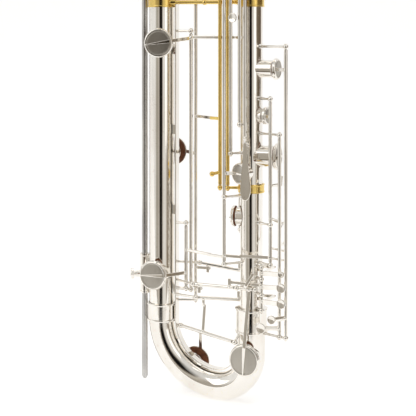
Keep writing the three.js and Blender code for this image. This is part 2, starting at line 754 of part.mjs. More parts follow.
// The arm that carries a cup: a bar from the hinge to the cup's edge, then a pointed rib across it.
function cupArm(hub, { rim, out, radius }) {
  const centre = rim.clone().addScaledVector(out, cupTop);
  const side = hub.clone().sub(centre);
  side.addScaledVector(out, -side.dot(out)).normalize();
  const edge = centre.clone().addScaledVector(side, radius * ribStartShare);
  const tip = centre.clone().addScaledVector(side, -radius * ribEndShare);
  const root = edge.clone().addScaledVector(side, bite);
  const rib = blade(root, tip, armWidth, armWidth * ribTipShare, 2 * ribHeight, out);
  return [blade(clearOf(hub, edge), edge, armWidth, armWidth, armThickness, out), rib];
}

// Where an arm's end meets the skin of its hinge tube, so that the seats inside stay free.
function clearOf(hub, end) {
  return hub.clone().add(end.clone().sub(hub).setLength(pivotRadius + bite));
}

// A bar that leaves a hinge and runs through the given points.
function arm([hub, ...points], width = thinArm, face = front) {
  const starts = [clearOf(hub, points[0]), ...points];
  return points.map((end, i) => blade(starts[i], end, width, width, armThickness, face));
}

// Builds a key in its closed pose and sets it at rest, turned back by lift degrees about its hinge.
// atRest lists forms that are given where they stand at rest.
function key(name, { hinge, hole, hub, lift = 0, pad, metal = 'silver', forms = [], atRest = [] }) {
  const axis = inward(hinge).normalize();
  const pivot = { place: hinge.from, axis, turn: -lift };
  const closing = new THREE.Matrix4().makeRotationAxis(axis, radians(lift));
  closing.setPosition(hinge.from.clone().applyMatrix4(closing).negate().add(hinge.from));
  const closed = atRest.flat().map((form) => form.applyMatrix4(closing));
  const pieces = [hingeTube(hinge), ...forms.flat(), ...closed];
  if (hole) pieces.push(cupDisc(hole, !pad), ...cupArm(hub ?? atHeight(hinge, hole.rim.z), hole));
  const body = fuse(pieces);
  add(name, pad ? cut(body, cupPocket(hole)) : body, metal, pivot);
  if (pad) add(pad, padDisc(hole), 'leather', pivot);
}

// A flat disc that faces the player's fingers.
function touchPlate(centre, radius) {
  const half = armThickness / 2;
  return aim(revolve([[0, -half], [radius, -half], [radius, half], [0, half]], cupSides / 2), centre, front);
}

// The finger plate of a key, on its arm.
function leaf(name) {
  const { height, across, depth, rise, radius } = leafPlace[name];
  const root = atHeight(hinges[name], height);
  const tip = root.clone().add(point(across, depth, rise));
  return [...arm([root, tip], leafWidth), touchPlate(tip.clone().addScaledVector(front, linkGap), radius)];
}

// Keys whose cups stand on the bell tube and on the bow

const crossX = (across) => bellTubeX + across;
const besideFinger = nearFinger + fingerOverlap;

// A foot that a cross bar's finger pushes.
function foot(hinge, bar) {
  const met = atX(bar, nearFinger);
  return arm([atHeight(hinge, met.z - footDrop), point(besideFinger, met.y + slip, met.z - footDrop)]);
}

function buildLowKeys() {
  const { lowA, lowB, lowC, lowD, lowE, barA, barB, barD, goldG, linkC } = hinges;
  const armDepth = meetA.depth + slip;
  const armA = arm([atHeight(lowA, meetA.height), point(crossX(meetA.lowBend), armDepth + linkGap, meetA.height),
    point(crossX(meetA.lowEnd), armDepth, meetA.height)]);
  key('low_key_a', { hinge: lowA, hole: holes.lowA, hub: atHeight(lowA, cupHubHeight.lowA), pad: 'pad_a',
    forms: [armA, foot(lowA, barA)] });
  const armB = arm([atHeight(lowB, meetB.height),
    point(goldG.from.x - meetB.lowReach, goldG.from.y + meetB.lowDepth, meetB.height)]);
  key('low_key_b', { hinge: lowB, hole: holes.lowB, lift: openLift.lowB, pad: 'pad_b',
    atRest: [armB, foot(lowB, barB)] });
  const armC = arm([atHeight(lowC, meetC.height),
    point(crossX(meetC.lowEnd), linkC.from.y + meetC.lowDepth, meetC.height)]);
  key('low_key_c', { hinge: lowC, hole: holes.lowC, hub: atHeight(lowC, cupHubHeight.lowC), pad: 'pad_c',
    forms: [armC] });
  const footX = crossX(meetD.across);
  const tipD = point(footX, atX(barD, nearFinger).y + slip, barHeight.d - meetD.drop);
  key('low_key_d', { hinge: lowD, hole: holes.lowD, hub: atX(lowD, crossX(cupHubAcross.lowD)), lift: openLift.lowD,
    pad: 'pad_d', atRest: [arm([atX(lowD, footX), tipD])] });
  const elbow = point(mainTubeX + leafE.elbowAcross, barFront - leafE.elbowDepth, barHeight.a + leafE.elbowRise);
  const tipE = point(mainTubeX + leafE.across, barFront - leafE.depth, leafE.height);
  key('low_key_e', { hinge: lowE, hole: holes.lowE, hub: atX(lowE, mainTubeX + cupHubAcross.lowE), pad: 'pad_e',
    forms: [arm([atX(lowE, mainTubeX - leafE.start), elbow, tipE])] });
}

// Rocking bars that carry a touch's push across to the bell tube's keys

function finger(hinge, x, way) {
  const root = atX(hinge, x);
  return arm([root, root.clone().addScaledVector(way, fingerLength)]);
}

function buildBars() {
  const { barA, barB, barD } = hinges;
  for (const [name, bar] of [['cross_bar_a', barA], ['cross_bar_b', barB], ['cross_bar_d', barD]]) {
    key(name, { hinge: bar, forms: [finger(bar, nearFinger, down), finger(bar, farFinger, up)] });
  }
}

// Touches

// An arm that goes round behind the main tube to a cross bar's far finger.
function armRoundBack(hinge, bar) {
  const met = atX(bar, farFinger);
  const height = met.z + footDrop;
  const beside = point(hinge.from.x + roundBackAcross, barBack + roundBackDepth, height);
  const behind = point(farFinger - fingerOverlap, met.y + slip, height);
  const root = hinge.from.clone().lerp(hinge.to, 1 / 2);
  return [...arm([root, beside], thinArm, right),
    blade(beside, behind, thinArm, thinArm, armThickness, front)];
}

// The D-shaped touch: three round bars in a bent frame.
function loopFrame({ from }) {
  const { width, lean, depth, bottom, dip, inner, top, wire } = loopTouch;
  const corners = [
    point(from.x, from.y, bottom), point(from.x + width, from.y + depth, bottom - dip),
    point(from.x + width + lean, from.y + depth, bottom + inner), point(from.x, from.y, top),
  ];
  return corners.slice(1).map((corner, i) => rod(corners[i], corner, wire));
}

function buildTouches() {
  const { touchA, touchB, touchC, barA, barB, barD, loop, linkC } = hinges;
  const push = barHeight.a + footDrop;
  const armA = arm([atHeight(touchA, push), point(farFinger - fingerOverlap, barA.from.y + slip, push)]);
  key('touch_a', { hinge: touchA, forms: [leaf('touchA'), armA] });
  key('touch_b', { hinge: touchB, forms: [leaf('touchB'), armRoundBack(touchB, barD)] });
  key('touch_c', { hinge: touchC, forms: [leaf('touchC'), armRoundBack(touchC, barB)] });
  const longArm = arm([atHeight(loop, meetC.touchHeight),
    point(mainTubeX - meetC.touchEnd, linkC.from.y + slip + linkGap, meetC.touchHeight)]);
  key('loop_key', { hinge: loop, forms: [loopFrame(loop), longArm] });
}

// Keys whose cups stand on the main tube

// The arm of the link key: it leans back past the main tube and runs behind the two gold rods.
function linkArm(hinge) {
  const { height, depth, elbow, linkEnd } = meetA;
  return arm([atHeight(hinge, height), point(hinge.from.x - elbow, depth, height),
    point(crossX(linkEnd), depth, height)]);
}

// A long teardrop plate that hangs in front of its hinge.
function teardrop(hinge) {
  const near = dropEdge.map(([run, half]) => [run * drop.length, half * drop.width]);
  const outline = [...near, ...near.toReversed().map(([x, y]) => [x, -y])];
  const top = point(hinge.from.x + drop.across, hinge.from.y - drop.depth, drop.top);
  const held = arm([atHeight(hinge, drop.top + armWidth), top.clone().addScaledVector(down, bite)]);
  return [lay(extrude(outline, armThickness), top, down, front), ...held];
}

function buildStackKeys() {
  const { linkC, stackH, stackI, stackJ, linkK, spatP, register } = hinges;
  const leverC = [
    ...arm([atHeight(linkC, meetC.height),
      point(crossX(meetC.linkEnd), linkC.from.y + meetC.linkDepth, meetC.height)]),
    ...arm([atHeight(linkC, meetC.touchHeight),
      point(mainTubeX - meetC.rightEnd, linkC.from.y, meetC.touchHeight)]),
  ];
  key('link_key_c', { hinge: linkC, forms: [leverC] });
  key('stack_key_h', { hinge: stackH, hole: holes.stackH, lift: openLift.stack, forms: [leaf('stackH')] });
  key('stack_key_i', { hinge: stackI, hole: holes.stackI, forms: [leaf('stackI')] });
  key('stack_key_j', { hinge: stackJ, hole: holes.stackJ, lift: openLift.stack, forms: [leaf('stackJ')] });
  key('link_key_k', { hinge: linkK, hole: holes.linkK, forms: [linkArm(linkK)] });
  key('spatula_key', { hinge: spatP, hole: holes.spatP, lift: openLift.stack, atRest: [teardrop(spatP)] });
  key('register_key', { hinge: register, hole: holes.register, forms: [leaf('register')] });
}

function buildGoldKeys() {
  const { goldG, goldL } = hinges;
  const meeting = point(goldG.from.x - meetB.goldReach, goldG.from.y + meetB.goldDepth, meetB.height);
  const root = atHeight(goldG, goldHook.height);
  const tip = root.clone().add(point(goldHook.across, goldHook.depth, -goldHook.drop));
  key('gold_key_g', { hinge: goldG, metal: 'gold',
    forms: [arm([atHeight(goldG, meetB.height), meeting]), arm([root, tip]), [ball(tip)], leaf('goldG')] });
  key('gold_key_l', { hinge: goldL, hole: holes.goldL, metal: 'gold', forms: [leaf('goldL')] });
}

// The finger ring under its hanger, and the small hook above it.
function ringForms({ from }) {
  const { radius, wire, across, depth, height, hanger, hangerDepth } = ringTouch;
  const centre = point(from.x + across, from.y + depth, height);
  const hoop = aim(new THREE.TorusGeometry(radius, wire, 6, 18), centre, right);
  const top = centre.clone().add(point(0, -hangerDepth, radius));
  const root = point(from.x + ringHook.across, from.y + ringHook.depth, ringHook.height);
  const heel = root.clone().addScaledVector(down, ringHook.sink);
  const tip = root.clone().add(point(ringHook.lean, 0, ringHook.rise));
  return [[hoop], arm([atHeight(hinges.ring, hanger), top]), arm([atHeight(hinges.ring, ringHook.height), root]),
    [blade(heel, tip, thinArm, thinArm / 2, armThickness, front)]];
}

function buildSideKeys() {
  const { ring, sideF, sideG, upperN } = hinges;
  key('side_key_f', { hinge: sideF, hole: holes.sideF, pad: 'pad_f', forms: [leaf('sideF')] });
  key('side_key_g', { hinge: sideG, hole: holes.sideG, pad: 'pad_g', forms: [leaf('sideG')] });
  key('upper_key_n', { hinge: upperN, hole: holes.upperN, forms: [leaf('upperN')] });
  key('ring_key', { hinge: ring, hole: holes.ringQ, forms: ringForms(ring) });
}

// Gold work, brace and rests on the body

function collar(tubeX, radius, middle, half) {
  const inner = radius + seatGap;
  return pipe(inner, inner + collarWall, middle - half, middle + half).translate(tubeX, 0, 0);
}

function buildGoldWork() {
  const { goldG, goldL } = hinges;
  const wall = mainTubeRadius + 2 * seatGap + bite;
  const posts = [goldG, goldL].flatMap((hinge) => tubePost(mainTubeX, wall, hinge.from, up));
  add('gold_collar', fuse(collar(mainTubeX, mainTubeRadius, hingeBottom.gold, collarHalf), ...posts), 'gold');
  const from = point(bellTubeX + braceStart.across, braceStart.depth, braceHeight);
  const to = point(mainTubeX + braceEnd.across, braceEnd.depth, braceHeight);
  add('body_brace', fuse(collar(bellTubeX, bellTubeRadius, braceHeight, braceHalf),
    collar(mainTubeX, mainTubeRadius, braceHeight, braceHalf), rod(from, to, braceRod, hingeSides)), 'gold');
}

function buildRests() {
  const rear = mainTubeRadius + seatGap;
  const at = (depth, height) => point(mainTubeX, rear + depth, height);
  const { width: saddleWidth, thickness: saddleDepth, length: saddleLength } = saddle;
  const saddleAt = (place) => box(saddleWidth, saddleDepth, saddleLength, at(saddleDepth / 2, place));
  const { height, rise, reach, width, tipWidth, thickness, hookReach, hookDrop, hookWidth } = thumb;
  const shelf = blade(at(bite, height + rise), at(reach, height), width, tipWidth, thickness, up);
  const edge = at(reach - bite, height + bite);
  const hook = blade(edge, at(hookReach, height - hookDrop), tipWidth, hookWidth, thickness, back);
  add('thumb_rest', fuse(saddleAt(height), shelf, hook), 'silver');
  const hoop = new THREE.TorusGeometry(strapEye.radius, strapEye.wire, 6, 14);
  const eye = aim(hoop, at(strapEye.standoff, strapEye.height), right);
  add('strap_ring', fuse(saddleAt(strapEye.height), eye), 'silver');
}

// Bell

function buildBell() {
  const path = route(point(bellTubeX, 0, bellTubeTop + seatGap), front, up, [
    { length: bellStraight }, { radius: bellBendRadius, turn: bellBendTurn }, { length: bellFlare },
  ]);
  const arc = bellBendRadius * radians(bellBendTurn);
  const start = bellStraight + arc;
  const swell = (s) => bellTubeRadius * (1 + ((s - bellStraight) / arc) ** 1.5 / 2);
  const bendRings = ringHeights(bellStraight, start, 5).map((s) => [swell(s), s]);
  const flare = bellFlareShares.map(([run, share]) => [bellMouth * share, start + bellFlare * run]);
  const outer = [[bellTubeRadius, 0], ...bendRings, ...flare];
  const inner = outer.toReversed().map(([radius, s]) => [radius - bellWall, s]);
  const lip = [bellMouth - bellWall / 2, path.length + bellWall];
  const profile = [...outer, lip, ...inner, outer[0]];
  add('bell', bend(revolve(profile, bellSides), path), 'silver');
  add('bell_ring', ringSleeve(bellTubeX, bellTubeRadius + seatGap, bellTubeTop - upperRingHalf,
    bellTubeTop + upperRingHalf), 'silver');
}

// Top bow and crook

const innerX = mainTubeX - 2 * topBowRadius;
const legBottom = mainTubeTop + seatGap - topBowLeg;
const neckPath = route(point(innerX, 0, legBottom - seatGap), back, down, [
  { length: neckStart }, { radius: neckTurnRadius, turn: neckTurn }, { length: neckEnd },
]);

// A thumb screw from its tip outwards, and the boss and bore that hold it.
function knobScrew(tip, way, { reach, shank, knob, height }) {
  const seat = tip.clone().addScaledVector(way, reach);
  const end = seat.clone().addScaledVector(way, height);
  const stem = rod(tip, seat.clone().addScaledVector(way, bite), shank, hingeSides);
  return fuse(stem, rod(seat, end, knob, knobSides));
}

function knobBoss(tip, way, { boss, bossStart, bossEnd }) {
  const on = (run) => tip.clone().addScaledVector(way, run);
  return rod(on(bossStart), on(bossEnd), boss, knobSides);
}

function knobBore(tip, way, { bore, boreEnd }) {
  return rod(tip, tip.clone().addScaledVector(way, boreEnd), bore, hingeSides);
}

function buildTopBow() {
  const path = route(point(mainTubeX, 0, mainTubeTop + seatGap), point(-1, 0, 0), up, [
    { radius: topBowRadius, turn: 180 }, { length: topBowLeg },
  ]);
  const wall = [...ringHeights(0, topBowRadius * radians(180), 10), path.length].map((s) => [mainTubeRadius, s]);
  add('top_bow', bend(revolve([[0, 0], ...wall, [0, path.length]], tubeSides), path), 'silver');
  add('top_bow_ring', ringSleeve(mainTubeX, mainTubeRadius + seatGap, mainTubeTop - upperRingHalf,
    mainTubeTop + topRingProud), 'silver');
}

function buildSocket() {
  const bore = neckRadius + seatGap;
  const wide = mainTubeRadius + seatGap;
  const skin = wide + socketLip;
  const top = legBottom + socketAbove;
  const low = legBottom - socketBelow;
  const step = legBottom - seatGap;
  const socket = revolve([[bore, low], [bore + socketWall, low], [skin, legBottom - socketShoulder], [skin, top],
    [wide, top], [wide, step], [bore, step], [bore, low]], tubeSides).translate(innerX, 0, 0);
  const way = point(-1, 0, 0);
  const tip = point(innerX - bore, 0, legBottom - neckKnob.drop);
  add('neck_socket', cut(fuse(socket, knobBoss(tip, way, neckKnob)), knobBore(tip, way, neckKnob)), 'silver');
  add('neck_screw', knobScrew(tip.clone().addScaledVector(way, seatGap), way, neckKnob), 'silver');
}

function buildNeck() {
  const taper = (neckRadius - neckTipRadius) / neckPath.length;
  const stations = [0, ...ringHeights(neckStart, neckPath.length - neckEnd, 8), neckPath.length];
  const wall = stations.map((s) => [neckRadius - taper * s, s]);
  add('neck', bend(revolve([[0, 0], ...wall, [0, neckPath.length]], tubeSides), neckPath), 'silver');
  const corkEnd = neckPath.length - corkInset;
  const corkStart = corkEnd - corkLength;
  const inside = neckTipRadius + taper * (corkLength + corkInset) + seatGap;
  add('neck_cork', bend(pipe(inside, corkRadius, corkStart, corkEnd), neckPath), 'cork');
}

// Mouthpiece, reed and ligature

const mouth = neckPath.at(neckPath.length - mouthOnCork);
const onMouth = (geometry) => aim(geometry, mouth.place, mouth.heading);

// An outline of length and depth, spread across the mouthpiece.
function spread(outline, width) {
  const turn = new THREE.Matrix4().makeBasis(up, back, point(-1, 0, 0));
  return extrude(outline, width).applyMatrix4(turn);
}

function buildMouthpiece() {
  const bore = corkRadius + seatGap;
  const skin = mouthShares.map(([wide, run]) => [mouthRadius * wide, mouthLength * run]);
  const inside = mouthLength - mouthBoreEnd;
  const shell = revolve([[bore, 0], ...skin, [0, mouthLength], [0, inside], [mouthBore, inside],
    [mouthBore, mouthSocket], [bore, mouthSocket], [bore, 0]], mouthSides);
  const past = mouthLength + mouthRadius;
  const wide = 2 * mouthRadius;
  const table = spread([[tableStart, mouthTable], [past, mouthTable], [past, wide], [tableStart, wide]], 2 * wide);
  const slope = (beakTip - beakRoot) / (mouthLength - beakStart);
  const beak = spread([[beakStart, beakRoot], [past, beakRoot], [past, beakTip + slope * mouthRadius],
    [mouthLength, beakTip]], 2 * wide);
  const open = box(windowWidth, windowDepth, windowLength, point(0, mouthTable - windowDepth / 3, windowMiddle));
  add('mouthpiece', onMouth(cut(shell, table, beak, open)), 'ebonite');
  const low = mouthTable + seatGap;
  const tip = mouthLength - reedTipInset;
  add('reed', onMouth(spread([[reedStart, low], [tip, low], [tip, low + reedTip], [reedVamp, low + reedBark],
    [reedStart, low + reedHeel]], reedWidth)), 'cane');
}

function buildLigature() {
  const { width, depth, length, standoff, middle } = bandBoss;
  const band = pipe(bandRadius, bandRadius + bandWall, bandStart, bandEnd, mouthSides);
  const boss = box(width, depth, length, point(0, bandRadius + standoff, middle));
  const line = bandRadius + bandScrew.standoff;
  const shank = (height, radius) => rod(point(bandScrew.start, line, height), point(bandScrew.end, line, height), radius,
    hingeSides);
  const heights = [bandScrew.first, bandScrew.second];
  add('ligature', onMouth(cut(fuse(band, boss), ...heights.map((height) => shank(height, bandScrew.bore)))), 'silver');
  heights.forEach((height, i) => {
    const knob = rod(point(bandScrew.knobStart, line, height), point(bandScrew.knobEnd, line, height), bandScrew.knob,
      knobSides);
    add(`ligature_screw_${i + 1}`, onMouth(fuse(shank(height, bandScrew.shank), knob)), 'silver');
  });
}

// Floor pin

// A sleeve for the pin, on a web that reaches the bell tube.
function pinSleeve({ bottom, top }) {
  const bore = pinRadius + seatGap;
  const sleeve = pipe(bore, bore + pinSleeveWall, bottom, top, pinSides).translate(pinX, 0, 0);
  const web = pinX + bore + pinWebSink;
  const wall = bellTubeX - bellTubeRadius - seatGap;
  const middle = point((wall + web) / 2, 0, (top + bottom) / 2);
  return [sleeve, box(wall - web, pinWebDepth, (top - bottom) * pinWebShare, middle)];
}

function buildPin() {
  const rounded = revolve([[0, pinBottom], [pinRadius / 2, pinBottom], [pinRadius, pinBottom + pinRadius],
    [pinRadius, pinTop], [0, pinTop]], pinSides).translate(pinX, 0, 0);
  add('endpin', rounded, 'steel');
  const way = point(...pinKnobWay).normalize();
  const tip = point(pinX, 0, pinKnobHeight).addScaledVector(way, pinRadius + seatGap);
  const held = fuse(...pinSleeve(pinSocket), knobBoss(tip, way, pinKnob));
  add('endpin_socket', cut(held, knobBore(tip, way, pinKnob)), 'silver');
  add('endpin_guide', fuse(...pinSleeve(pinGuideSpan)), 'silver');
  add('endpin_screw', knobScrew(tip.clone().addScaledVector(way, seatGap), way, pinKnob), 'silver');
}

buildTubes();
buildBow();
buildRings();
buildStrap();
buildLowKeys();
buildBars();
buildTouches();
buildStackKeys();
buildGoldKeys();
buildSideKeys();
buildGoldWork();
buildRests();
buildBell();
buildTopBow();
buildSocket();
buildNeck();
buildMouthpiece();
buildLigature();
buildPin();

export default part;
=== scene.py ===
"""Contrabass clarinet, dressed: every CAD node gets a finely made piece on the same lines.

Lengths are millimetres in the CAD frame and become metres when a piece is made.
The bell tube stands at -X and the main tube at +X, and the keys' front is -Y.
"""
import json
import math

import bmesh
import bpy
from mathutils import Matrix, Vector

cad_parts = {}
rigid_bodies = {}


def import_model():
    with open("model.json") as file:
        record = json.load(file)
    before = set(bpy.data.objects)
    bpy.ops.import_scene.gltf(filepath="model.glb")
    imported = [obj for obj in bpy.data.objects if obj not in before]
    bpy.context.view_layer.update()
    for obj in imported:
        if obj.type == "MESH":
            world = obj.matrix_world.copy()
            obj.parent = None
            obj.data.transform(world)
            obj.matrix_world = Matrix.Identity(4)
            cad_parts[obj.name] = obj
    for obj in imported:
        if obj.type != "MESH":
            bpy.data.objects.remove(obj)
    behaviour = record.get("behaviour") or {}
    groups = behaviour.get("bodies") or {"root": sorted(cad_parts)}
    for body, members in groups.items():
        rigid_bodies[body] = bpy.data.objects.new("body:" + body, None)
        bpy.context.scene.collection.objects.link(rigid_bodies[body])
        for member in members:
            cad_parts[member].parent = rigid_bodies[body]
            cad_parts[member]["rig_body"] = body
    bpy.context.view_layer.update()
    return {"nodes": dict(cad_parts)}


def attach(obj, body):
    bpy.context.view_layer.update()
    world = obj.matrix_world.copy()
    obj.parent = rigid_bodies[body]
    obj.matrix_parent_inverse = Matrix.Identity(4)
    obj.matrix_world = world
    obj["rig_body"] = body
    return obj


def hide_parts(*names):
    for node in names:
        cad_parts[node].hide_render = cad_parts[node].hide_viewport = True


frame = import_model()

METRE = 0.001

# Clearances and keywork stock, as in the CAD
SEAT_GAP = 0.3
LINK_GAP = 0.8
BITE = 0.6
HINGE_RADIUS = 2.6
PIVOT_RADIUS = 1.4
PIVOT_DEPTH = 2.6
BALL_RADIUS = 3.7
POST_RADIUS = 1.9
ARM_WIDTH = 5.2
THIN_ARM = 4.4
ARM_THICKNESS = 2.2
RIB_HEIGHT = 1.5
CUP_WALL = 1.0
CUP_DEPTH = 4.6
PAD_PROUD = 1.3
CHIMNEY_WALL = 1.6
SLIP = ARM_THICKNESS + LINK_GAP

# Body
BOW_LEFT = 87.0
BOW_RIGHT = 47.5
BOW_EXIT = 18.3
BOW_ENTRY = 19.6
BELL_TUBE = 18.0
MAIN_TUBE = 15.8
BELL_TUBE_TOP = 860.0
MAIN_TUBE_TOP = 1060.0
BELL_X = -BOW_LEFT
MAIN_X = BOW_RIGHT
BOW_RISE = BOW_EXIT + BOW_LEFT
RING_WALL = 1.8
RING_BEAD = 1.2
RING_BEAD_HEIGHT = 2.4

# Post strap
STRAP_WIDTH = 12.0
STRAP_THICKNESS = 2.0
STRAP_OFFSET = BELL_TUBE + 5.0
STRAP_X = BELL_X + STRAP_OFFSET
STRAP_TOP = 838.0
STRAP_FOOT = 14.0
STRAP_FOOT_PITCH = 118.0
STRAP_END_ANGLE = 38.0

# Fineness
TUBE_SIDES = 80
CUP_SIDES = 56
ROD_SIDES = 18
POST_SIDES = 16

UP = Vector((0, 0, 1))
DOWN = Vector((0, 0, -1))
FRONT = Vector((0, -1, 0))
BACK = Vector((0, 1, 0))
RIGHT = Vector((1, 0, 0))


def point(x, y, z):
    return Vector((x, y, z))


# Forms: points and faces with the name of their look


class Form:
    def __init__(self, points, faces, look=None):
        self.points = points
        self.faces = faces
        self.look = look

    def map(self, change):
        return Form([change(p) for p in self.points], self.faces, self.look)

    def looks(self, look):
        return Form(self.points, self.faces, look)


def flat(items):
    for item in items:
        if isinstance(item, (list, tuple)):
            yield from flat(item)
        else:
            yield item


def softened(profile, radius, closed=False):
    """The outline with each corner turned into a short curve."""
    count = len(profile)
    out = []
    for i, (r, z) in enumerate(profile):
        here = Vector((r, z))
        if not closed and i in (0, count - 1):
            out.append((r, z))
            continue
        before = Vector(profile[i - 1]) - here
        after = Vector(profile[(i + 1) % count]) - here
        if before.length < 1e-6 or after.length < 1e-6 or before.angle(after) > 2.9:
            out.append((r, z))
            continue
        reach = min(radius, before.length * 0.45, after.length * 0.45)
        a = here + before.normalized() * reach
        b = here + after.normalized() * reach
        out.append(tuple(a))
        out.append(tuple((a + b) * 0.25 + here * 0.5))
        out.append(tuple(b))
    return out


def revolve(profile, sides=ROD_SIDES, closed=False, soft=0.0):
    """A turned shape about Z; a closed outline makes a ring."""
    if soft:
        profile = softened(profile, soft, closed)
    rings = []
    points = []
    for r, z in profile:
        if abs(r) < 1e-6:
            rings.append([len(points)])
            points.append(point(0, 0, z))
            continue
        start = len(points)
        for k in range(sides):
            turn = 2 * math.pi * k / sides
            points.append(point(r * math.cos(turn), r * math.sin(turn), z))
        rings.append(list(range(start, start + sides)))
    faces = []
    pairs = list(zip(rings, rings[1:]))
    if closed:
        pairs.append((rings[-1], rings[0]))
    for low, high in pairs:
        for k in range(sides):
            n = (k + 1) % sides
            if len(low) == 1 and len(high) == 1:
                continue
            if len(low) == 1:
                faces.append((low[0], high[n], high[k]))
            elif len(high) == 1:
                faces.append((low[k], low[n], high[0]))
            else:
                faces.append((low[k], low[n], high[n], high[k]))
    return Form(points, faces)


def aim(form, place, direction):
    turn = UP.rotation_difference(direction.normalized())
    return form.map(lambda p: place + turn @ p)


def lay(form, place, along, face):
    """X along one direction and Z as near as can be to another."""
    x = along.normalized()
    z = (face - x * face.dot(x)).normalized()
    y = z.cross(x)
    return form.map(lambda p: place + x * p.x + y * p.y + z * p.z)


def rod(a, b, radius, sides=ROD_SIDES, end_radius=None, soft=0.4):
    length = (b - a).length
    top = radius if end_radius is None else end_radius
    return aim(revolve([(0, 0), (radius, 0), (top, length), (0, length)], sides, soft=soft), a, b - a)


def ball(centre, radius=BALL_RADIUS, sides=20, rings=12):
    profile = [(radius * math.sin(math.pi * i / rings), -radius * math.cos(math.pi * i / rings))
               for i in range(rings + 1)]
    profile[0] = (0, -radius)
    profile[-1] = (0, radius)
    return revolve(profile, sides).map(lambda p: centre + p)


def ring(centre, axis, radius, bar, sides=64, around=14):
    """A torus about an axis."""
    points = []
    faces = []
    for i in range(sides):
        a = 2 * math.pi * i / sides
        for k in range(around):
            b = 2 * math.pi * k / around
            reach = radius + bar * math.cos(b)
            points.append(point(reach * math.cos(a), reach * math.sin(a), bar * math.sin(b)))
    for i in range(sides):
        for k in range(around):
            n, m = (i + 1) % sides, (k + 1) % around
            faces.append((i * around + k, n * around + k, n * around + m, i * around + m))
    return aim(Form(points, faces), centre, axis)


def rounded_path(points, reach=9.0, steps=5):
    """Straight runs joined by short curves."""
    out = [points[0]]
    for before, here, after in zip(points, points[1:], points[2:]):
        to_before, to_after = before - here, after - here
        trim = min(reach, to_before.length * 0.45, to_after.length * 0.45)
        a = here + to_before.normalized() * trim
        b = here + to_after.normalized() * trim
        for i in range(steps + 1):
            t = i / steps
            out.append(a * (1 - t) ** 2 + here * 2 * t * (1 - t) + b * t ** 2)
    out.append(points[-1])
    return out


def rounded_section(width, thickness, corner=0.8, steps=3):
    half_w, half_t = width / 2, thickness / 2
    corner = min(corner, half_w * 0.95, half_t * 0.95)
    out = []
    for sx, sz, begin in ((1, 1, 0), (-1, 1, 90), (-1, -1, 180), (1, -1, 270)):
        for i in range(steps + 1):
            turn = math.radians(begin + 90 * i / steps)
            out.append((sx * (half_w - corner) + corner * math.cos(turn),
                        sz * (half_t - corner) + corner * math.sin(turn)))
    return out


def loft(stations):
    """Skin over closed loops of points of one count, with flat ends."""
    count = len(stations[0])
    points = [p for loop in stations for p in loop]
    faces = []
    for i in range(len(stations) - 1):
        for k in range(count):
            n = (k + 1) % count
            faces.append((i * count + k, i * count + n, (i + 1) * count + n, (i + 1) * count + k))
    faces.append(tuple(reversed(range(count))))
    faces.append(tuple(range((len(stations) - 1) * count, len(stations) * count)))
    return Form(points, faces)


def spots_along(path):
    total = 0.0
    out = [0.0]
    for a, b in zip(path, path[1:]):
        total += (b - a).length
        out.append(total)
    return [s / total for s in out], total


def lever(points, width, end_width=None, thickness=ARM_THICKNESS, face=FRONT):
    """A cast lever along rounded corners; its flat side looks along face."""
    path = rounded_path(points) if len(points) > 2 else list(points)
    end_width = width if end_width is None else end_width
    shares, total = spots_along(path)
    tip = min(0.9, total * 0.2)
    first = (path[1] - path[0]).normalized()
    last = (path[-1] - path[-2]).normalized()
    path = [path[0], path[0] + first * tip * 0.3, path[0] + first * tip] + path[1:-1] + [
        path[-1] - last * tip, path[-1] - last * tip * 0.3, path[-1]]
    shares, total = spots_along(path)
    shrink = [0.72, 0.93, 1.0] + [1.0] * (len(path) - 6) + [1.0, 0.93, 0.72]
    stations = []
    for i, place in enumerate(path):
        along = path[min(i + 1, len(path) - 1)] - path[max(i - 1, 0)]
        x = along.normalized()
        z = (face - x * face.dot(x)).normalized()
        y = z.cross(x)
        wide = (width + (end_width - width) * shares[i]) * shrink[i]
        section = rounded_section(wide, thickness * (1.0 if shrink[i] == 1 else shrink[i]))
        stations.append([place + y * u + z * v for u, v in section])
    return loft(stations)


def plate(outline, thickness, chamfer=0.5):
    """A flat plate with eased edges, lying in XY about Z zero."""
    centre = sum((Vector(p) for p in outline), Vector((0, 0))) / len(outline)
    half = thickness / 2
    loops = []
    low, high = -half + chamfer * 0.8, half - chamfer * 0.8
    for inset, z in ((chamfer, -half), (0.0, low), (0.0, high), (chamfer, half)):
        loop = []
        for p in outline:
            away = Vector(p) - centre
            reach = max(away.length - inset, 0.01)
            spot = centre + away.normalized() * reach
            loop.append(point(spot.x, spot.y, z))
        loops.append(loop)
    return loft(loops)


def block(size, centre, soft=0.6):
    """A block with eased edges."""
    x, y, z = size
    section = rounded_section(x, y, soft, 2)
    loops = []
    low, high = -z / 2, z / 2
    for share, height in ((0.9, low), (1.0, low + soft * 0.6), (1.0, high - soft * 0.6), (0.9, high)):
        inset = (1 - share) * 6 * soft
        wide, deep = 1 - inset / max(x, 1), 1 - inset / max(y, 1)
        loops.append([point(centre[0] + u * wide, centre[1] + v * deep, centre[2] + height)
                      for u, v in section])
    return loft(loops)


# A path of straights and arcs in a plane, followed by its length


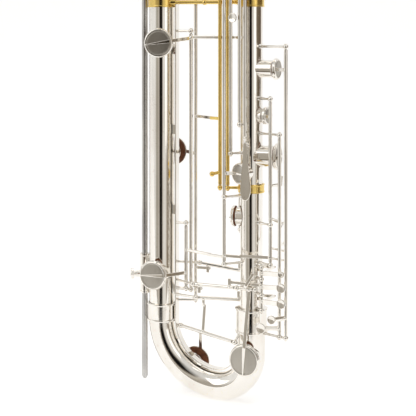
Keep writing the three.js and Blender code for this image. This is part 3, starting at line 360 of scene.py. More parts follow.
class Route:
    def __init__(self, start, across, ahead, moves):
        self.runs = []
        place, side, heading, begin = start.copy(), across.copy(), ahead.copy(), 0.0
        for radius, amount in moves:
            length = radius * math.radians(abs(amount)) if radius else amount
            self.runs.append((begin, place, heading, side, radius, amount))
            begin += length
            place, heading, side = self.follow(self.runs[-1], begin)
        self.length = begin

    @staticmethod
    def follow(run, s):
        begin, place, heading, side, radius, amount = run
        far = s - begin
        if not radius:
            return place + heading * far, heading, side
        sign = math.copysign(1, amount)
        c, n = math.cos(far / radius), math.sin(far / radius)
        centre = place + side * (sign * radius)
        outward = side * (-sign * c) + heading * n
        return centre + outward * radius, heading * c + side * (sign * n), side * c - heading * (sign * n)

    def at(self, s):
        chosen = self.runs[0]
        for run in self.runs:
            if s >= run[0]:
                chosen = run
        return self.follow(chosen, s)


def bend(form, path):
    def place(p):
        spot, heading, side = path.at(p.z)
        return spot + side * p.x + heading.cross(side) * p.y
    return form.map(place)


def heights(begin, end, count):
    return [begin + (end - begin) * i / count for i in range(count + 1)]


# Tone holes

MAIN_RIM = MAIN_TUBE + 5
BELL_RIM = BELL_TUBE + 8
SIDE_RIM = MAIN_TUBE + 18
BOW_RIM = BOW_ENTRY + 6


class Hole:
    def __init__(self, axis, out, reach, radius):
        self.axis, self.out, self.reach, self.radius = axis, out, reach, radius
        self.rim = axis + out * reach


def tube_hole(tube_x, turn, height, reach, radius):
    way = math.radians(turn)
    return Hole(point(tube_x, 0, height), point(math.sin(way), -math.cos(way), 0), reach, radius)


def bow_hole(angle, reach, radius):
    way = math.radians(angle)
    return Hole(point(-BOW_LEFT * math.cos(way), 0, BOW_EXIT + BOW_LEFT * (1 - math.sin(way))), BACK.copy(),
                reach, radius)


HOLES = {
    "lowA": tube_hole(BELL_X, 14, 495, BELL_RIM, 20.5),
    "lowB": tube_hole(BELL_X, 178, 338, BELL_RIM, 20.5),
    "lowC": tube_hole(BELL_X, -2, 170, BELL_RIM, 20.5),
    "lowD": bow_hole(54, BOW_RIM, 20.5),
    "lowE": tube_hole(MAIN_X, 0, 66, BOW_RIM, 22),
    "sideF": tube_hole(MAIN_X, 93, 340, SIDE_RIM, 18.4),
    "sideG": tube_hole(MAIN_X, 88, 460, SIDE_RIM, 15),
    "stackH": tube_hole(MAIN_X, -20, 318, MAIN_RIM, 15),
    "stackI": tube_hole(MAIN_X, -84, 256, MAIN_RIM, 15),
    "stackJ": tube_hole(MAIN_X, 4, 645, MAIN_RIM, 15),
    "linkK": tube_hole(MAIN_X, 40, 604, MAIN_RIM, 15),
    "goldL": tube_hole(MAIN_X, -15, 692, MAIN_RIM, 15),
    "spatP": tube_hole(MAIN_X, 60, 572, MAIN_RIM, 12.5),
    "ringQ": tube_hole(MAIN_X, 80, 396, MAIN_RIM, 12.5),
    "upperN": tube_hole(MAIN_X, 95, 712, SIDE_RIM, 15),
    "register": tube_hole(MAIN_X, 4, 1000, MAIN_RIM, 8),
}


def chimney(name):
    hole = HOLES[name]
    outer = hole.radius * 0.8
    inner = outer - CHIMNEY_WALL
    root = hole.reach * 0.2
    wall = [(inner, root), (outer, root), (outer, hole.reach - 1.6), (outer + 0.5, hole.reach - 1.2),
            (outer + 0.5, hole.reach - 0.5), (outer, hole.reach), (inner, hole.reach)]
    return aim(revolve(wall, CUP_SIDES, closed=True, soft=0.35), hole.axis, hole.out)


# Hinge lines

HINGE_PLACE = {
    "lowA": (BELL_X + 44.5, 0, 148, 511.5),
    "lowB": (BELL_X + 46.7, 12, 131, 640),
    "lowC": (BELL_X + 38.6, -4, 150, 241.7),
    "linkC": (MAIN_X - 28.7, -30, 194.5, 286),
    "stackH": (MAIN_X - 28.7, -30, 286, 740),
    "stackI": (MAIN_X - 25.5, 24, 232, 280),
    "stackJ": (MAIN_X - 21.5, -24, 344.8, 668),
    "register": (MAIN_X - 21.5, -24, 764, 1020),
    "linkK": (MAIN_X - 8.2, -24.4, 385, 622),
    "spatP": (MAIN_X - 0.2, -24.4, 356, 586),
    "goldG": (MAIN_X - 40.8, -14, 296, 800),
    "goldL": (MAIN_X - 29.5, -14, 296, 730),
    "touchB": (MAIN_X + 22.5, -22, 134, 155),
    "touchA": (MAIN_X + 22.5, -22, 155, 176),
    "touchC": (MAIN_X + 22.5, -22, 176, 192),
    "loop": (MAIN_X + 34.5, -20, 196, 250),
    "ring": (MAIN_X + 34.5, -20, 250, 420),
    "sideF": (MAIN_X + 47.5, -20, 100, 372),
    "upperN": (MAIN_X + 47.5, -20, 634, 760),
    "sideG": (MAIN_X + 57, -22, 100, 491),
}


class Hinge:
    def __init__(self, a, b):
        self.a, self.b = a, b
        self.inward, self.outward = b - a, a - b

    def at_height(self, z):
        return self.a.lerp(self.b, (z - self.a.z) / (self.b.z - self.a.z))

    def at_x(self, x):
        return self.a.lerp(self.b, (x - self.a.x) / (self.b.x - self.a.x))


HINGES = {
    name: Hinge(point(x, y, low), point(x, y, high)) for name, (x, y, low, high) in HINGE_PLACE.items()
}
BAR_FRONT = -22
BAR_BACK = 22
BAR_END = MAIN_X - 13.5
BAR_FAR = MAIN_X - 8
HINGES["barA"] = Hinge(point(BAR_END, BAR_FRONT, 161.5), point(BELL_X + 56, BAR_FRONT, 161.5))
HINGES["barB"] = Hinge(point(BAR_FAR, BAR_BACK, 174), point(BELL_X + 55, 8, 185))
HINGES["barD"] = Hinge(point(BAR_FAR, BAR_BACK, 135), point(BELL_X + 57, -11, 140.5))
HINGES["lowE"] = Hinge(point(MAIN_X + 13.5, BAR_FRONT, 161.5), point(BAR_END, BAR_FRONT, 161.5))
HINGES["lowD"] = Hinge(point(MAIN_X - 15, -26, 88.2), point(BELL_X + 29, 0, 96))


# Posts


def post(foot, centre, ways, flange=True):
    """A stem with a foot flange, a ball, and a point screw along each way."""
    length = (centre - foot).length
    stem = [(0, 0), (POST_RADIUS, 0), (POST_RADIUS * 0.9, length), (0, length)]
    if flange and length > 4:
        stem = [(0, 0), (3.1, 0), (3.1, 1.1), (POST_RADIUS * 1.05, 2.2), (POST_RADIUS * 0.85, length * 0.7),
                (POST_RADIUS, length), (0, length)]
    forms = [aim(revolve(stem, POST_SIDES, soft=0.3), foot, centre - foot), ball(centre)]
    for way in ways:
        screw = [(PIVOT_RADIUS, BALL_RADIUS * 0.6), (PIVOT_RADIUS, BALL_RADIUS * 0.98),
                 (0, BALL_RADIUS + PIVOT_DEPTH)]
        forms.append(aim(revolve([(0, BALL_RADIUS * 0.6)] + screw, 12), centre, way).looks("steel"))
    if len(ways) == 1:
        head = [(0, 3.0), (1.9, 3.0), (1.9, 3.85), (1.5, 4.05), (0, 4.05)]
        forms.append(aim(revolve(head, 14, soft=0.12), centre, -ways[0]))
        # The slot is painted shade: a near-black plate on the head, not a cut recess.
        forms.append(slot_mark(centre - ways[0].normalized() * 4.07, -ways[0], 1.35))
    return forms


def slot_mark(place, way, half_length, half_width=0.28):
    """A near-black plate laid on a screw head: painted shade standing in for the shaded recess of the driver
    slot.
    """
    side = way.normalized().orthogonal().normalized()
    mark = plate([(-half_length, -half_width), (half_length, -half_width), (half_length, half_width),
                  (-half_length, half_width)], 0.12, 0.02)
    return lay(mark, place, side, way).looks("slot")


def tube_post(tube_x, wall, centre, *ways):
    out = point(centre.x - tube_x, centre.y, 0).normalized()
    return post(point(tube_x, 0, centre.z) + out * wall, centre, ways)


def main_post(centre, *ways):
    return tube_post(MAIN_X, MAIN_TUBE - BITE, centre, *ways)


def main_posts(*names):
    run = [HINGES[name] for name in names]
    forms = [main_post(run[0].a, run[0].inward)]
    forms += [main_post(hinge.a, hinge.inward, hinge.outward) for hinge in run[1:]]
    forms.append(main_post(run[-1].b, run[-1].outward))
    return forms


# Making pieces

LOOKS = {}
SHARP = math.radians(38)


def new_thing(name, forms, look, body):
    """One object from forms and their looks, riding on a body."""
    points, faces, marks = [], [], []
    order = [look]
    for form in flat([forms]):
        start = len(points)
        points += [tuple(p * METRE) for p in form.points]
        if form.look and form.look not in order:
            order.append(form.look)
        mark = order.index(form.look) if form.look else 0
        for face in form.faces:
            faces.append(tuple(start + i for i in face))
            marks.append(mark)
    mesh = bpy.data.meshes.new(name)
    mesh.from_pydata(points, [], faces)
    mesh.polygons.foreach_set("material_index", marks)
    mesh.polygons.foreach_set("use_smooth", [True] * len(faces))
    mesh.validate()
    mesh.update()
    fix_winding(mesh)
    mesh.set_sharp_from_angle(angle=SHARP)
    for used in order:
        mesh.materials.append(LOOKS[used])
    thing = bpy.data.objects.new(name, mesh)
    bpy.context.scene.collection.objects.link(thing)
    thing.modifiers.new("even shading", "WEIGHTED_NORMAL").keep_sharp = True
    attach(thing, body)
    return thing


def piece(node, forms, look):
    """One object in place of a CAD node, on that node's body."""
    thing = new_thing("fine_" + node, forms, look, frame["nodes"][node]["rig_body"])
    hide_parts(node)


def fix_winding(mesh):
    """All faces turned outward."""
    work = bmesh.new()
    work.from_mesh(mesh)
    bmesh.ops.recalc_face_normals(work, faces=work.faces)
    work.to_mesh(mesh)
    work.free()


# Body


def solid_tube(x, radius, bottom, top):
    profile = [(0, bottom), (radius, bottom), (radius, top), (0, top)]
    return revolve(profile, TUBE_SIDES, soft=0.6).map(lambda p: p + point(x, 0, 0))


MAIN_HOLES = ("sideF", "sideG", "stackH", "stackI", "stackJ", "linkK", "goldL", "spatP", "ringQ", "upperN",
              "register")
BELL_HOLES = ("lowA", "lowB", "lowC")


def build_tubes():
    bow_end = BOW_RISE + SEAT_GAP
    main = [solid_tube(MAIN_X, MAIN_TUBE, bow_end, MAIN_TUBE_TOP)] + [chimney(name) for name in MAIN_HOLES]
    bar_a, low_e = HINGES["barA"], HINGES["lowE"]
    main += [
        main_posts("linkC", "stackH"), main_posts("stackI"), main_posts("stackJ"), main_posts("register"),
        main_posts("linkK"), main_posts("spatP"), main_posts("touchB", "touchA", "touchC"),
        main_posts("loop", "ring"), main_posts("upperN"),
        main_post(HINGES["sideF"].b, DOWN), main_post(HINGES["sideG"].b, DOWN),
        main_post(HINGES["goldG"].b, DOWN), main_post(HINGES["goldL"].b, DOWN),
        main_post(bar_a.a, bar_a.inward, low_e.outward), main_post(low_e.a, low_e.inward),
        main_post(HINGES["barB"].a, HINGES["barB"].inward),
        main_post(HINGES["barD"].a, HINGES["barD"].inward),
    ]
    piece("main_tube", main, "silver")
    bell = [solid_tube(BELL_X, BELL_TUBE, bow_end, BELL_TUBE_TOP)] + [chimney(name) for name in BELL_HOLES]
    piece("bell_tube", bell, "silver")


LEFT_ARC = BOW_LEFT * math.radians(90)
RIGHT_ARC = BOW_RIGHT * math.radians(90)
BOW_PATH = Route(point(BELL_X, 0, BOW_RISE), RIGHT.copy(), DOWN.copy(),
                 [(BOW_LEFT, 90), (BOW_RIGHT, 90), (0, BOW_LEFT - BOW_RIGHT)])


def build_bow():
    rings = heights(0, LEFT_ARC, 40) + heights(LEFT_ARC, LEFT_ARC + RIGHT_ARC, 26)[1:] + [BOW_PATH.length]
    widen = (BOW_ENTRY - BOW_EXIT) / BOW_PATH.length
    wall = [(BOW_EXIT + widen * s, s) for s in rings]
    bow = bend(revolve([(0, 0)] + wall + [(0, BOW_PATH.length)], TUBE_SIDES), BOW_PATH)
    piece("bottom_bow", [bow, chimney("lowD"), chimney("lowE")], "silver")


RING_LIP = 1.6
LEFT_RING = (102, 127)
RIGHT_RING = (98, 131)


def ring_sleeve(x, inner, bottom, top, neck=None):
    """A beaded sleeve; with a neck radius its top closes in on a thinner tube."""
    outer = inner + RING_WALL
    bead = outer + RING_BEAD
    low, high = bottom + RING_BEAD_HEIGHT, top - RING_BEAD_HEIGHT
    profile = [(inner, bottom), (bead, bottom), (bead, low), (outer, low + 0.3), (outer, high - 0.3),
               (bead, high), (bead, top)]
    profile += [(neck, top), (neck, top - RING_LIP), (inner, top - RING_LIP)] if neck else [(inner, top)]
    return revolve(profile, TUBE_SIDES, closed=True, soft=0.7).map(lambda p: p + point(x, 0, 0))


def build_rings():
    piece("bow_ring_left", ring_sleeve(BELL_X, BOW_EXIT + SEAT_GAP, *LEFT_RING), "silver")
    inner = BOW_ENTRY + SEAT_GAP
    low_d = HINGES["lowD"]
    lowest = RIGHT_RING[0] + RING_BEAD_HEIGHT
    away = point(low_d.a.x - MAIN_X, low_d.a.y, 0).normalized()
    stem = rod(point(MAIN_X, 0, lowest) + away * (inner + RING_WALL / 2), low_d.a, POST_RADIUS)
    forms = [
        ring_sleeve(MAIN_X, inner, *RIGHT_RING, MAIN_TUBE + 2 * SEAT_GAP), stem,
        tube_post(MAIN_X, inner + BITE, HINGES["sideF"].a, UP),
        tube_post(MAIN_X, inner + BITE, HINGES["sideG"].a, UP),
        post(low_d.a + point(0, 0, BITE), low_d.a, [low_d.inward], flange=False),
    ]
    piece("bow_ring_right", forms, "silver")


STRAP_PATH = Route(point(STRAP_X, 0, STRAP_TOP), RIGHT.copy(), DOWN.copy(),
                   [(0, STRAP_TOP - BOW_RISE), (BOW_LEFT - STRAP_OFFSET, 90), (BOW_RIGHT - STRAP_OFFSET, 90)])


def strip(path, spots):
    section = rounded_section(STRAP_THICKNESS, STRAP_WIDTH, 0.8)
    loops = []
    for s in spots:
        place, heading, side = path.at(s)
        across = heading.cross(side)
        loops.append([place + side * u + across * v for u, v in section])
    return loft(loops)


def strap_foot(s, wall=BELL_TUBE, length=STRAP_FOOT):
    place, heading, side = STRAP_PATH.at(s)
    reach = STRAP_OFFSET - wall - 1.5 * SEAT_GAP
    foot = block((length, STRAP_WIDTH, reach), (0, 0, 0))
    return lay(foot, place - side * (reach / 2), heading, side)


def strap_post(centre, *ways):
    spare = STRAP_WIDTH / 2 - POST_RADIUS
    share = max(-1.0, min(1.0, centre.y / spare))
    return post(point(STRAP_X, share * spare, centre.z), centre, ways, flange=False)


def build_strap():
    straight = STRAP_TOP - BOW_RISE
    turn = (BOW_LEFT - STRAP_OFFSET) * math.radians(90)
    end = straight + turn + (BOW_RIGHT - STRAP_OFFSET) * math.radians(STRAP_END_ANGLE)
    spots = [0, 0.4] + [straight] + heights(straight, end, 44)[1:]
    feet = heights(STRAP_FOOT, straight - 3 * STRAP_FOOT, round(straight / STRAP_FOOT_PITCH))
    forms = [strip(STRAP_PATH, spots)] + [strap_foot(s) for s in feet]
    forms += [strap_foot(straight + turn * share, BOW_ENTRY, STRAP_FOOT / 2) for share in (0.3, 0.72)]
    for name in BELL_HOLES:
        forms += [strap_post(HINGES[name].a, UP), strap_post(HINGES[name].b, DOWN)]
    for name in ("barA", "barB", "barD", "lowD"):
        forms.append(strap_post(HINGES[name].b, HINGES[name].outward))
    piece("bell_rib", forms, "silver")


# Keys

CUP_TOP = SEAT_GAP + PAD_PROUD + CUP_DEPTH
CUP_CEILING = CUP_TOP - CUP_WALL


def hinge_tube(hinge):
    """A tube with a groove near each end and a conical seat for each point screw."""
    length = hinge.inward.length
    start = BALL_RADIUS + SEAT_GAP
    end = length - start
    mouth = PIVOT_RADIUS + SEAT_GAP
    deep = PIVOT_DEPTH + SEAT_GAP
    cuff = min(4.5, length * 0.1)
    low, high = start + cuff, end - cuff
    r, groove = HINGE_RADIUS, HINGE_RADIUS - 0.3
    profile = [(0, start + deep), (mouth, start), (r, start), (r, low), (groove, low + 0.15),
               (groove, low + 0.65), (r, low + 0.8), (r, high - 0.8), (groove, high - 0.65),
               (groove, high - 0.15), (r, high), (r, end), (mouth, end), (0, end - deep)]
    return aim(revolve(profile, ROD_SIDES, soft=0.18), hinge.a, hinge.inward)


def cup_disc(hole, padded):
    """A turned cup: a beaded foot, a raised rim, a groove and a low crown."""
    r = hole.radius
    lip = SEAT_GAP + PAD_PROUD
    bore = r - CUP_WALL
    if padded:
        under = [(0, CUP_CEILING), (bore, CUP_CEILING), (bore, lip)]
    else:
        pad_r = r - CUP_WALL - SEAT_GAP
        under = [(0, lip + 0.6), (pad_r, lip + 0.6), (bore, lip + 0.5), (bore, lip)]
    outer = [(r, lip), (r, lip + 1.0), (r - 0.5, lip + 1.4), (r - 0.5, CUP_TOP - 1.5),
             (r - 1.3, CUP_TOP - 0.35), (r - 2.2, CUP_TOP), (r - 3.0, CUP_TOP - 0.15)]
    face = [(r - 3.0, CUP_TOP - 0.15), (r - 3.6, CUP_TOP - 0.75), (r - 4.4, CUP_TOP - 0.75),
            (r - 5.0, CUP_TOP - 0.2), (r * 0.35, CUP_TOP - 0.05), (0, CUP_TOP)]
    return [aim(revolve(softened(under + outer, 0.3), CUP_SIDES), hole.rim, hole.out),
            aim(revolve(softened(face, 0.25), CUP_SIDES), hole.rim, hole.out).looks("satin")]


def pad_disc(hole):
    """A leather pad with a stitched dimple and a ring pressed by the chimney."""
    r = hole.radius - CUP_WALL - SEAT_GAP
    top = CUP_CEILING - SEAT_GAP
    seat = hole.radius * 0.8 - CHIMNEY_WALL / 2
    profile = [(0, SEAT_GAP + 0.35), (1.4, SEAT_GAP + 0.3), (2.2, SEAT_GAP + 0.02), (seat - 1.6, SEAT_GAP),
               (seat, SEAT_GAP + 0.18), (seat + 1.4, SEAT_GAP), (r - 0.8, SEAT_GAP + 0.12),
               (r - 0.15, SEAT_GAP + 0.7), (r, SEAT_GAP + 1.3), (r, top), (0, top)]
    return aim(revolve(profile, CUP_SIDES, soft=0.3), hole.rim, hole.out).looks("leather")


def clear_of(hub, end):
    return hub + (end - hub).normalized() * (PIVOT_RADIUS + BITE)


def cup_arm(hub, hole):
    """A bar from the hinge to the cup's edge, then a pointed ridge across the cup."""
    centre = hole.rim + hole.out * CUP_TOP
    side = hub - centre
    side = (side - hole.out * side.dot(hole.out)).normalized()
    edge = centre + side * (hole.radius * 0.8)
    tip = centre - side * (hole.radius * 0.9)
    ridge = lever([edge + side * BITE, centre, tip], ARM_WIDTH, ARM_WIDTH * 0.3, 2 * RIB_HEIGHT, hole.out)
    bar = lever([clear_of(hub, edge), edge - side * 1.2], ARM_WIDTH, None, ARM_THICKNESS, hole.out)
    return [bar, ridge, hub_saddle(hub, edge - hub)]


def hub_saddle(hub, away):
    """The swelling where an arm is brazed to its hinge tube."""
    return ball(hub + away.normalized() * 1.1, 2.9, 14, 8)


def arm(points, width=ARM_WIDTH, face=FRONT, thickness=ARM_THICKNESS):
    starts = [clear_of(points[0], points[1])] + list(points[1:])
    return [lever(starts, width, None, thickness, face), hub_saddle(points[0], points[1] - points[0])]


def turned(forms, hinge, degrees):
    """Forms turned about a hinge line."""
    turn = Matrix.Rotation(math.radians(degrees), 3, hinge.inward.normalized())
    return [form.map(lambda p: hinge.a + turn @ (p - hinge.a)) for form in flat([forms])]


def key(node, hinge_name, hole_name=None, hub=None, lift=0, pad=None, look="silver", forms=(), at_rest=()):
    """A key set at rest, turned back by lift degrees from its closed pose."""
    hinge = HINGES[hinge_name]
    closed = [hinge_tube(hinge), list(forms)]
    if hole_name:
        hole = HOLES[hole_name]
        closed += [cup_disc(hole, bool(pad)), cup_arm(hub or hinge.at_height(hole.rim.z), hole)]
        if not pad:
            closed.append(pad_rim(hole))
    piece(node, turned(closed, hinge, -lift) + list(flat([list(at_rest)])), look)
    if pad:
        piece(pad, turned(pad_disc(HOLES[hole_name]), hinge, -lift), "leather")


def pad_rim(hole):
    """The leather pad that shows under a cup whose pad is one with it."""
    r = hole.radius - CUP_WALL - SEAT_GAP
    lip = SEAT_GAP + PAD_PROUD
    profile = [(0, SEAT_GAP), (r - 0.7, SEAT_GAP), (r - 0.1, SEAT_GAP + 0.6), (r, lip), (r, lip + 0.8),
               (0, lip + 0.8)]
    return aim(revolve(profile, CUP_SIDES, soft=0.3), hole.rim, hole.out).looks("leather")


# Where levers of the two tubes meet, and where the fingers of the cross bars stand
NEAR_FINGER = BELL_X + 66
FAR_FINGER = MAIN_X - 24
FINGER_REACH = 12
FINGER_LAP = 3
FOOT_DROP = 6.5
MEET_A = 503
MEET_B = 391
MEET_C = 204
LOOP_MEET = 206
MEET_DEPTH = -6.5
LINK_ELBOW = 16
FOOT_A = 155
FOOT_B = 177
FOOT_D = 130
PUSH_A = 168
OPEN_LIFT = 8

# Touches: height on the hinge, how far right, back and up of it the disc stands, and its radius
TOUCH_DISC = 6.5
TOUCHES = {
    "touchA": (166, 32.5, -14, 4, TOUCH_DISC),
    "touchB": (146, 32.5, -14, 3, TOUCH_DISC),
    "touchC": (184.5, 32.5, -14, 3.5, 4.5),
    "stackH": (585, 13, -8, 0, TOUCH_DISC),
    "stackI": (262, 16, 10, 0, TOUCH_DISC),
    "stackJ": (530, 10, -12, 0, TOUCH_DISC),
    "register": (800, -14, -10, 0, TOUCH_DISC),
    "goldG": (784, -15, -12, 0, TOUCH_DISC),
    "goldL": (640, -16, -18, 0, TOUCH_DISC),
    "sideF": (112, -22, -13, 1, 7),
    "sideG": (127, -15, -15, 0, 6),
    "upperN": (662, -15, -14, 0, TOUCH_DISC),
}


def touch_plate(centre, radius):
    """A dished disc for a finger."""
    half = ARM_THICKNESS / 2
    profile = [(0, -half), (radius - 0.6, -half), (radius, -half + 0.6), (radius, half - 0.5),
               (radius - 0.6, half), (radius - 1.4, half - 0.05), (radius * 0.5, half - 0.4), (0, half - 0.5)]
    return aim(revolve(profile, 40, soft=0.25), centre, FRONT)


def touch_leaf(name):
    """A broad arm from a hinge to its finger disc."""
    hinge = HINGES[name]
    height, right, back, rise, radius = TOUCHES[name]
    tip = point(hinge.a.x + right, hinge.a.y + back, height + rise)
    return arm([hinge.at_height(height), tip], 1.3 * ARM_WIDTH) + [touch_plate(tip + FRONT * LINK_GAP, radius)]


def foot(hinge, bar, height):
    """The arm that lies behind a cross bar's near finger."""
    met = bar.at_x(NEAR_FINGER)
    return arm([hinge.at_height(height), point(NEAR_FINGER + FINGER_LAP, met.y + SLIP, height)], THIN_ARM)


def build_low_keys():
    h = HINGES
    gold, lever_c = h["goldG"].a, h["linkC"].a
    arm_a = arm([h["lowA"].at_height(MEET_A), point(-12, MEET_DEPTH + SLIP + LINK_GAP, MEET_A),
                 point(1, MEET_DEPTH + SLIP, MEET_A)], THIN_ARM)
    key("low_key_a", "lowA", "lowA", h["lowA"].at_height(501.6), 0, "pad_a",
        forms=[arm_a, foot(h["lowA"], h["barA"], FOOT_A)])
    arm_b = arm([h["lowB"].at_height(MEET_B), point(gold.x - 14, gold.y + 7.4, MEET_B)], THIN_ARM)
    key("low_key_b", "lowB", "lowB", None, 9, "pad_b", at_rest=[arm_b, foot(h["lowB"], h["barB"], FOOT_B)])
    arm_c = arm([h["lowC"].at_height(MEET_C), point(-4, lever_c.y + 9, MEET_C)], THIN_ARM)
    key("low_key_c", "lowC", "lowC", h["lowC"].at_height(172), 0, "pad_c", forms=[arm_c])
    foot_x = NEAR_FINGER + 1
    tip_d = point(foot_x, h["barD"].at_x(NEAR_FINGER).y + SLIP, FOOT_D)
    key("low_key_d", "lowD", "lowD", h["lowD"].at_x(BELL_X + 62.7), 7, "pad_d",
        at_rest=[arm([h["lowD"].at_x(foot_x), tip_d], THIN_ARM)])
    elbow, tip_e = point(MAIN_X + 1, BAR_FRONT - 6.5, 165), point(MAIN_X + 13, BAR_FRONT - 7, 184)
    leaf_e = arm([h["lowE"].at_x(MAIN_X - 2), elbow, tip_e], THIN_ARM)
    key("low_key_e", "lowE", "lowE", h["lowE"].at_x(MAIN_X + 4.8), 0, "pad_e", forms=[leaf_e])


def finger(bar, x, way):
    root = bar.at_x(x)
    return arm([root, root + way * FINGER_REACH], THIN_ARM)


def build_bars():
    for node, name in (("cross_bar_a", "barA"), ("cross_bar_b", "barB"), ("cross_bar_d", "barD")):
        bar = HINGES[name]
        key(node, name, forms=[finger(bar, NEAR_FINGER, DOWN), finger(bar, FAR_FINGER, UP)])


def round_back(hinge, bar):
    """An arm past the main tube's side, then behind it to a cross bar's far finger."""
    met = bar.at_x(FAR_FINGER)
    height = met.z + FOOT_DROP
    beside = point(hinge.a.x + 2, BAR_BACK + 5, height)
    behind = point(FAR_FINGER - FINGER_LAP, met.y + SLIP, height)
    return arm([hinge.a.lerp(hinge.b, 0.5), beside], THIN_ARM, RIGHT) + [
        lever([beside, behind], THIN_ARM), ball(beside, 2.3, 14, 8)]


def build_touches():
    h = HINGES
    push = point(FAR_FINGER - FINGER_LAP, BAR_FRONT + SLIP, PUSH_A)
    front_arm = arm([h["touchA"].at_height(PUSH_A), push], THIN_ARM)
    key("touch_a", "touchA", forms=[touch_leaf("touchA"), front_arm])
    key("touch_b", "touchB", forms=[touch_leaf("touchB"), round_back(h["touchB"], h["barD"])])
    key("touch_c", "touchC", forms=[touch_leaf("touchC"), round_back(h["touchC"], h["barB"])])
    loop = h["loop"]
    x, near, far = loop.a.x, loop.a.y, loop.a.y + 11
    edge = MAIN_X + 52
    corners = [point(x, near, 205.5), point(edge, far, 201), point(edge + 2, far, 214), point(x, near, 219)]
    frame_bar = wire(rounded_path(corners, 4.5), 1.7)
    meeting = point(MAIN_X - 8, h["linkC"].a.y + SLIP + LINK_GAP, LOOP_MEET)
    key("loop_key", "loop", forms=[frame_bar, arm([loop.at_height(LOOP_MEET), meeting], THIN_ARM)])


def wire(path, radius, sides=14):
    """A round wire along a run of points."""
    stations = []
    y = None
    for i, place in enumerate(path):
        x = (path[min(i + 1, len(path) - 1)] - path[max(i - 1, 0)]).normalized()
        y = x.orthogonal().normalized() if y is None else (y - x * y.dot(x)).normalized()
        z = x.cross(y)
        turns = [2 * math.pi * k / sides for k in range(sides)]
        stations.append([place + y * (radius * math.cos(t)) + z * (radius * math.sin(t)) for t in turns])
    return loft(stations)


# The long teardrop plate: its size, top, and half widths along it as shares
DROP_LENGTH = 78
DROP_TOP = 362
DROP_WIDTH = 15
DROP_EDGE = [(0, 0.14), (0.3, 0.24), (0.62, 0.42), (0.76, 0.49), (0.84, 0.5), (0.9, 0.45), (0.95, 0.36),
             (0.985, 0.22), (1, 0.08)]


def teardrop():
    hinge = HINGES["spatP"]
    near = [(run * DROP_LENGTH, half * DROP_WIDTH) for run, half in DROP_EDGE]
    outline = near + [(x, -y) for x, y in reversed(near)]
    top = point(hinge.a.x + 5.5, hinge.a.y - 14.4, DROP_TOP)
    return [lay(plate(outline, ARM_THICKNESS, 0.7), top, DOWN, FRONT)] + arm(
        [hinge.at_height(DROP_TOP + ARM_WIDTH), point(top.x, top.y, DROP_TOP - BITE)], THIN_ARM)


def build_stack_keys():
    link_c, link_k = HINGES["linkC"], HINGES["linkK"]
    lever_c = [arm([link_c.at_height(MEET_C), point(-8, link_c.a.y + 7, MEET_C)], THIN_ARM),
               arm([link_c.at_height(LOOP_MEET), point(MAIN_X - 4, link_c.a.y, LOOP_MEET)], THIN_ARM)]
    key("link_key_c", "linkC", forms=lever_c)
    key("stack_key_h", "stackH", "stackH", lift=OPEN_LIFT, forms=[touch_leaf("stackH")])
    key("stack_key_i", "stackI", "stackI", forms=[touch_leaf("stackI")])
    key("stack_key_j", "stackJ", "stackJ", lift=OPEN_LIFT, forms=[touch_leaf("stackJ")])
    elbow, end = point(link_k.a.x - LINK_ELBOW, MEET_DEPTH, MEET_A), point(-6, MEET_DEPTH, MEET_A)
    key("link_key_k", "linkK", "linkK", forms=[arm([link_k.at_height(MEET_A), elbow, end], THIN_ARM)])
    key("spatula_key", "spatP", "spatP", lift=OPEN_LIFT, at_rest=[teardrop()])


def build_gold_keys():
    rod_g = HINGES["goldG"]
    x, y = rod_g.a.x, rod_g.a.y
    hook = point(x - 9, y - 7, 315)
    key("gold_key_g", "goldG", look="gold", forms=[
        arm([rod_g.at_height(MEET_B), point(x - 17, y + 5.6, MEET_B)], THIN_ARM),
        arm([rod_g.at_height(317), hook], THIN_ARM), ball(hook), touch_leaf("goldG")])
    key("gold_key_l", "goldL", "goldL", look="gold", forms=[touch_leaf("goldL")])


RING_TOUCH = point(MAIN_X + 44.5, 4, 235)
RING_RADIUS = 14.5
RING_HANGER = 259
HOOK_ROOT = point(MAIN_X + 43.5, -3, 303)
HOOK_TIP = point(MAIN_X + 45.5, -3, 315)


def build_side_keys():
    """The register key, the keys at the right and the ring."""
    key("register_key", "register", "register", forms=[touch_leaf("register")])
    key("side_key_f", "sideF", "sideF", pad="pad_f", forms=[touch_leaf("sideF")])
    key("side_key_g", "sideG", "sideG", pad="pad_g", forms=[touch_leaf("sideG")])
    key("upper_key_n", "upperN", "upperN", forms=[touch_leaf("upperN")])
    hinge = HINGES["ring"]
    key("ring_key", "ring", "ringQ", forms=[
        ring(RING_TOUCH, RIGHT, RING_RADIUS, 1.8),
        arm([hinge.at_height(RING_HANGER), RING_TOUCH + point(0, -3, RING_RADIUS)], THIN_ARM),
        arm([hinge.at_height(HOOK_ROOT.z), HOOK_ROOT], THIN_ARM),
        lever([HOOK_ROOT - point(0, 0, 2), HOOK_TIP], THIN_ARM, THIN_ARM / 2)])


# Gold work, braces and rests


def collar(x, radius, bottom, top):
    inner = radius + SEAT_GAP
    outer = inner + 1.3 * RING_WALL
    profile = [(inner, bottom), (outer, bottom), (outer, bottom + 2), (outer - 0.5, bottom + 2.4),
               (outer - 0.5, top - 2.4), (outer, top - 2), (outer, top), (inner, top)]
    return revolve(profile, TUBE_SIDES, closed=True, soft=0.4).map(lambda p: p + point(x, 0, 0))


REAR = MAIN_TUBE + SEAT_GAP
THUMB_HEIGHT = 470
EYE_HEIGHT = 770
BRACE_HEIGHT = 552
BRACE_HALF = 7
BRACE_START = point(BELL_X + 16.5, -10.8, BRACE_HEIGHT)
BRACE_END = point(MAIN_X - 17, 3, BRACE_HEIGHT)


def saddle(height):
    return block((12, 2.4, 30), (MAIN_X, REAR + 1.2, height))


